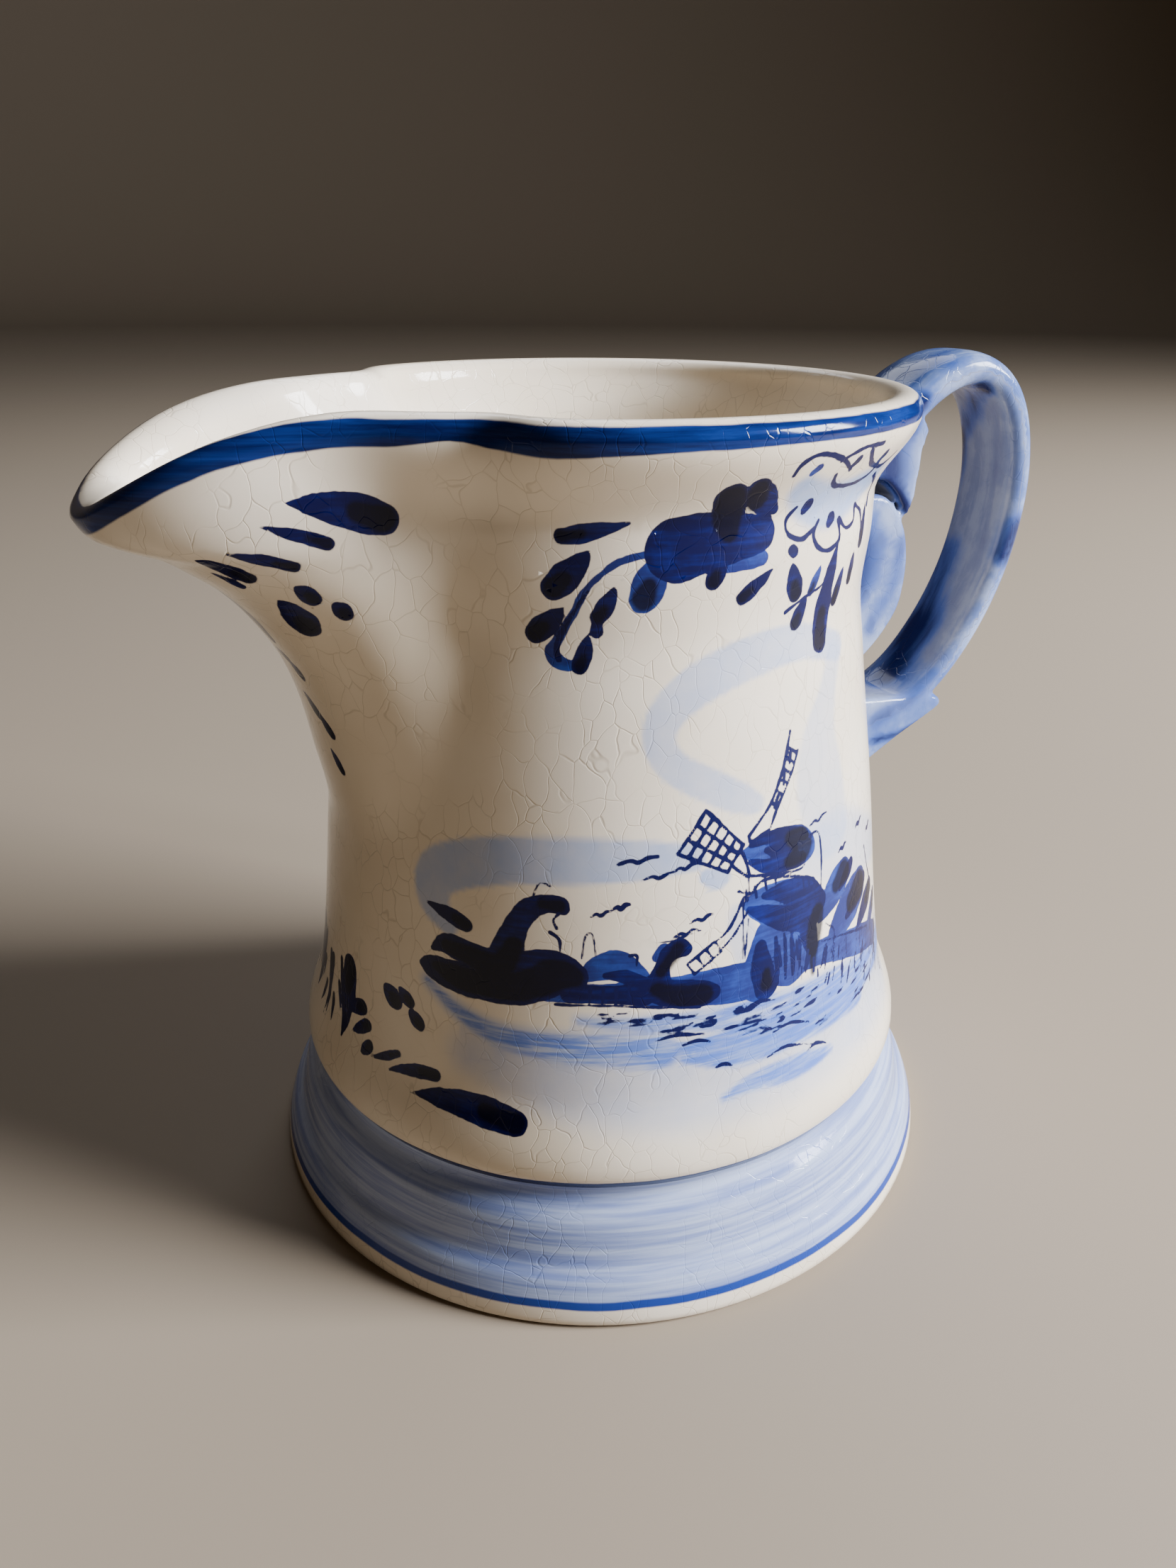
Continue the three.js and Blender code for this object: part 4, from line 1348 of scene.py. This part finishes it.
        outer = layer("foot_mask")
        sweep = noise(drawn_out(around, 26, height, 1.1), 1.0, 4.0, 0.6)
        foot_blue = mix(mask(sweep, 0.32, 0.68), self.foot_blue, self.foot_pale)
        foot_zone = times(times(below(height, *self.foot_top), mask(height, *self.foot_bottom)), outer)
        colour = mix(times(foot_zone, 0.85), colour, foot_blue)
        drift = swing(noise(place, 18), 0.9, height)
        for (low, high), tone in ((self.upper_ring, self.deep), (self.lower_ring, self.mid_thin)):
            soft = self.ring_soft
            ring = times(mask(drift, low - soft, low + soft), below(drift, high - soft, high + soft))
            colour = mix(times(ring, outer), colour, tone)

        across = layer("grip_across")
        strokes = noise(drawn_out(layer("grip_along"), 13, across, 2.4), 1.0, 5.0, 0.6, Distortion=0.4)
        clouds = blend(strokes, 0.6, noise(place, 6.5, 4, 0.6))
        strap = mix(mask(clouds, 0.33, 0.47), self.strap_streak, self.strap_blue)
        strap = mix(mask(clouds, 0.45, 0.6), strap, self.strap_pale)
        # Painted shade: the strap's inner face, which faces away from the light, is greyed.
        hollow = times(mask(across, -27.5, -24), below(across, -16, -13))
        strap = mix(times(hollow, 0.6), strap, self.strap_shade_grey)
        # Dark marks on the handle: blotches of the blue wash, and painted shade in the crevices and under the
        # rim.
        blot_and_shade = swing(strokes, 0.9, layer("grip_blot_and_shade"))
        strap = mix(times(mask(blot_and_shade, 0.08, 0.5), 0.8), strap, self.strap_streak)
        strap = mix(times(mask(blot_and_shade, 0.3, 0.95), 0.95), strap, self.strap_blot_and_shade)
        colour = mix(layer("handle_mask"), colour, strap)

        bump = math_node("ADD", times(fissure, -0.8), times(noise(place, 2.6), 0.25))
        relief = add_node(tree, "ShaderNodeBump", {"Strength": 0.3, "Distance": 0.0001}, {"Height": bump})
        rough = math_node("MULTIPLY_ADD", fine, 0.08, self.gloss)
        settings = {"IOR": self.ior, "Specular IOR Level": self.mirror}
        links = {"Base Color": colour, "Normal": relief.outputs[0], "Roughness": rough}
        shader = add_node(tree, "ShaderNodeBsdfPrincipled", settings, links)
        add_node(tree, "ShaderNodeOutputMaterial", {}, {"Surface": shader.outputs[0]})
        return material


@dataclass
class Pitcher:
    """The finished jug: wall and handle joined in the clay, glazed and painted.

    Each of the levels gives the edge length wanted, how far from a stroke's edge it is wanted, and
    whether for the pen lines only.
    """

    form: JugForm = field(default_factory=JugForm)
    glaze: TinGlaze = TinGlaze()
    band_top: float = 0.5
    band_depth: tuple[tuple[float, float], ...] = (
        (0, 3.4), (15, 3.5), (33, 3.2), (42, 2.6), (48, 3.1), (58, 3.6), (70, 3.2), (85, 2.8), (115, 2.6),
        (180, 2.6),
    )
    joint_reach: float = 1.9
    joint_smoothing: int = 14
    joint_proud: float = 0.06
    joint_edge: float = 1.0
    grip_low: float = 40.0
    levels: tuple[tuple[float, float, bool], ...] = (
        (1.3, 0.5, False), (0.75, 0.2, False), (0.56, 0.02, False), (0.39, 0.0, True),
    )
    wash_target: float = 0.7
    wash_change: float = 0.08
    snap_reach: float = 0.2

    def soften_contact(self, bm: bmesh.types.BMesh) -> None:
        """Divide the wall more finely where the handle joins it."""
        for _ in range(2):
            points = vertex_array(bm)
            turn, radius, z = polar(points)
            near = (turn > math.radians(156)) & (z > self.grip_low) & (z < 107)
            near &= radius > self.form.skin(turn, z) - 0.3
            bm.verts.index_update()
            inside = [edge for edge in bm.edges if all(near[vert.index] for vert in edge.verts)]
            chosen = [edge for edge in inside if edge.calc_length() > self.joint_edge]
            bmesh.ops.subdivide_edges(bm, edges=chosen, cuts=1, use_grid_fill=True)
            bm.verts.ensure_lookup_table()

    def join(self, wall: bmesh.types.BMesh, handle: bmesh.types.BMesh) -> bmesh.types.BMesh:
        """Fuse handle and wall, and let the glaze fill the corner between them."""
        body = mesh_object("wall_clay", wall)
        grip = mesh_object("handle_clay", handle)
        union = body.modifiers.new("join", "BOOLEAN")
        union.operation = "UNION"
        union.solver = "EXACT"
        union.object = grip
        apply_modifiers(body)
        bpy.data.objects.remove(grip)
        bm = bmesh_in_mm(body)
        bmesh.ops.remove_doubles(bm, verts=bm.verts, dist=0.02)
        split_large_faces(bm, corners=4)
        close_skin(bm)
        bm.verts.index_update()
        bm.verts.ensure_lookup_table()
        points = vertex_array(bm)
        turn, radius, z = polar(points)
        proud = radius - self.form.skin(turn, z)
        region = (turn > math.radians(150)) & (z > self.grip_low) & (proud > -0.5)
        flush = region & (np.abs(proud) < self.joint_proud)
        clear = proud > self.joint_proud * 2
        seam = [vert for vert in bm.verts if flush[vert.index]
                and any(clear[edge.other_vert(vert).index] for edge in vert.link_edges)]
        log.info("seam of %d vertices", len(seam))
        seam_points = np.array([vert.co[:] for vert in seam])
        chosen = np.flatnonzero(region)
        gap = np.min(np.linalg.norm(points[chosen][:, None] - seam_points[None, ::2], axis=2), axis=1)
        soft = [bm.verts[index] for index in chosen[gap < self.joint_reach]]
        smooth(bm, soft, self.joint_smoothing)
        return bm

    def refine(self, bm: bmesh.types.BMesh, painting: Painting) -> None:
        """Divide the skin along the edges of the brush strokes, finer at each level."""
        bmesh.ops.triangulate(bm, faces=bm.faces)
        for target, reach, pen_only in self.levels:
            bm.verts.ensure_lookup_table()
            bm.verts.index_update()
            points = vertex_array(bm)
            layers = painting.distances(points)
            sharp = [Pigment.LINE] if pen_only else [kind for kind in Pigment if kind is not Pigment.WASH]
            crisp = np.min([np.abs(layers[pigment]) for pigment in sharp], axis=0)
            ends = np.array([[edge.verts[0].index, edge.verts[1].index] for edge in bm.edges])
            length = np.linalg.norm(points[ends[:, 0]] - points[ends[:, 1]], axis=1)
            wash = np.abs(np.diff(layers[Pigment.WASH][ends], axis=1))[:, 0]
            wanted = (length > target) & (crisp[ends].min(1) < reach + length / 2)
            wanted |= (length > target) & (wash > self.wash_change) & (target > self.wash_target)
            chosen = [edge for edge, want in zip(bm.edges, wanted) if want]
            bmesh.ops.subdivide_edges(bm, edges=chosen, cuts=1, use_grid_fill=True)
            split_large_faces(bm)
            bm.verts.ensure_lookup_table()
            self.snap(bm)
            log.info("level %.2f mm: %d faces", target, len(bm.faces))

    def snap(self, bm: bmesh.types.BMesh) -> None:
        """Put the new vertices of the outer wall back on the skin."""
        points = vertex_array(bm)
        turn, radius, z = polar(points)
        skin = self.form.skin(turn, z)
        lip = self.form.crown(turn) - self.form.lip_rise
        loose = (np.abs(radius - skin) < self.snap_reach) & (z > 1) & (z < lip - 0.05)
        loose &= turn < math.radians(148)
        points[loose, :2] *= (skin[loose] / radius[loose])[:, None]
        place_vertices(bm, points)

    def dress(self, piece: bpy.types.Object, painting: Painting, handle: Handle) -> None:
        """Store the painting on the mesh and give it the glaze.

        Args:
            piece: The finished jug.
            painting: The strokes to measure.
            handle: The handle, which knows its own strokes, blotches and painted shade.
        """
        mesh = piece.data
        points = np.empty(len(mesh.vertices) * 3)
        mesh.vertices.foreach_get("co", points)
        points = points.reshape(-1, 3) / MM
        turn, radius, z = polar(points)
        outer = self.form.skin(turn, z)
        inner = self.form.skin(turn, z, self.form.wall)
        sign = np.where(radius > (outer + inner) / 2, 1, -1)
        layers = painting.distances(points)
        values = {"paint_" + pigment.value: layers[pigment] for pigment in Pigment}
        run = sign * np.minimum(self.form.crown(turn) - z, 30)
        lower = smooth_through(self.band_depth)(np.degrees(turn))
        values["band_share"] = np.clip((run - self.band_top) / (lower - self.band_top), -3, 3)
        values["foot_mask"] = ((radius > outer - 1) & (z > 0.01)).astype(float)
        grip = (turn > math.radians(140)) & (z > self.grip_low)
        values["handle_mask"] = ramp(radius - outer, 0.15, 1.4) * grip
        values |= handle.glaze_layers(points)
        for name, data in values.items():
            mesh.attributes.new(name, "FLOAT", "POINT").data.foreach_set("value", data.astype(np.float32))
        mesh.materials.clear()
        mesh.materials.append(self.glaze.material())

    def build(self) -> bpy.types.Object:
        """Model, paint and glaze the jug, and put it in the frame."""
        wall = Wall(self.form).build()
        self.soften_contact(wall)
        handle = Handle(self.form)
        bm = self.join(wall, handle.build())
        painting = Painting(self.form)
        RiverScene(painting).build()
        Sprays(painting).build()
        self.refine(bm, painting)
        close_skin(bm)
        bmesh.ops.recalc_face_normals(bm, faces=bm.faces)
        low, high = (np.array(corner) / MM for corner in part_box("pitcher"))
        place_vertices(bm, np.clip(vertex_array(bm), low, high))
        piece = mesh_object("painted_pitcher", bm)
        self.dress(piece, painting, handle)
        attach(piece, "root")
        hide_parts("pitcher")
        log.info("pitcher: %d faces, %d strokes", len(piece.data.polygons), len(painting.strokes))
        return piece


@dataclass
class Studio:
    """The plain floor, the soft lights and the camera, in metres."""

    floor_reach: float = 2.4
    sweep_radius: float = 1.2
    wall_height: float = 1.6
    sweep_steps: int = 12
    sweep_columns: int = 96
    floor_colour: str = "#918370"
    air_colour: str = "#E3C9AC"
    air_light: float = 0.03
    window_colour: str = "#F1F5FF"
    room_colour: str = "#FFD3A2"
    camera_place: tuple[float, float, float] = (-0.06527, -0.13996, 0.12353)
    camera_right: tuple[float, float, float] = (0.8929, -0.4502, 0.0094)
    camera_up: tuple[float, float, float] = (0.1789, 0.3739, 0.9100)
    camera_lens: float = 26.45
    camera_shift: float = -0.0320

    def floor(self) -> None:
        """Lay the round floor, swept up into a wall all round, and give it a plain matt finish."""
        turns = [math.pi / 2 * step / self.sweep_steps for step in range(self.sweep_steps + 1)]
        section = [(0.0, 0.0)] + [(self.floor_reach + self.sweep_radius * math.sin(turn),
                                   self.sweep_radius * (1 - math.cos(turn))) for turn in turns]
        section.append((self.floor_reach + self.sweep_radius, self.sweep_radius + self.wall_height))
        bm = bmesh.new()
        verts = [bm.verts.new((radius / MM, 0, z / MM)) for radius, z in section]
        edges = [bm.edges.new(pair) for pair in zip(verts, verts[1:])]
        bmesh.ops.spin(bm, geom=verts + edges, cent=(0, 0, 0), axis=(0, 0, 1), angle=2 * math.pi,
                       steps=self.sweep_columns, use_merge=True, use_duplicate=False)
        bmesh.ops.remove_doubles(bm, verts=bm.verts, dist=1e-3)
        bmesh.ops.recalc_face_normals(bm, faces=bm.faces)
        floor = mesh_object("floor", bm)
        material = bpy.data.materials.new("matt_paper")
        material.use_nodes = True
        shader = material.node_tree.nodes["Principled BSDF"]
        shader.inputs["Base Color"].default_value = linear(self.floor_colour)
        shader.inputs["Roughness"].default_value = 0.7
        floor.data.materials.append(material)

    def light(self, name: str, place: tuple[float, float, float], size: float, power: float,
              colour: str = "#FFFFFF") -> None:
        """Hang one soft square light that faces the jug.

        Args:
            name: The light's name.
            place: Where it hangs, in metres.
            size: Its side, in metres.
            power: Its power in watts.
            colour: Its colour.
        """
        lamp = bpy.data.lights.new(name, "AREA")
        lamp.shape = "SQUARE"
        lamp.size = size
        lamp.energy = power
        lamp.color = linear(colour)[:3]
        holder = bpy.data.objects.new(name, lamp)
        holder.location = place
        holder.rotation_euler = (Vector((0, 0, 0.06)) - Vector(place)).to_track_quat("-Z", "Y").to_euler()
        bpy.context.scene.collection.objects.link(holder)

    def camera(self) -> None:
        """Place the camera at the photograph's viewing angle."""
        lens = bpy.data.cameras.new("camera")
        lens.lens = self.camera_lens
        lens.sensor_width = 36
        lens.shift_x = self.camera_shift
        lens.clip_start = 0.01
        holder = bpy.data.objects.new("camera", lens)
        right, up = (Vector(axis).normalized() for axis in (self.camera_right, self.camera_up))
        back = right.cross(up)
        turn = Matrix((right, up, back)).transposed().to_4x4()
        holder.matrix_world = Matrix.Translation(self.camera_place) @ turn
        bpy.context.scene.collection.objects.link(holder)
        bpy.context.scene.camera = holder

    def build(self) -> None:
        """Set the stage."""
        self.floor()
        self.light("window", (0.90, -0.60, 0.56), 0.5, 72.0, self.window_colour)
        self.light("fill", (-0.55, -0.75, 0.55), 0.8, 0.12, self.room_colour)
        self.light("top", (0.25, 0.55, 0.75), 0.5, 2.5, self.window_colour)
        world = bpy.data.worlds.new("studio")
        world.use_nodes = True
        world.node_tree.nodes["Background"].inputs[0].default_value = linear(self.air_colour)
        world.node_tree.nodes["Background"].inputs[1].default_value = self.air_light
        bpy.context.scene.world = world
        self.camera()


def main() -> None:
    """Build everything in order."""
    logging.basicConfig(level=logging.INFO, format="%(relativeCreated)d ms: %(message)s")
    Pitcher().build()
    Studio().build()
    bpy.context.view_layer.update()


if __name__ == "__main__":
    main()
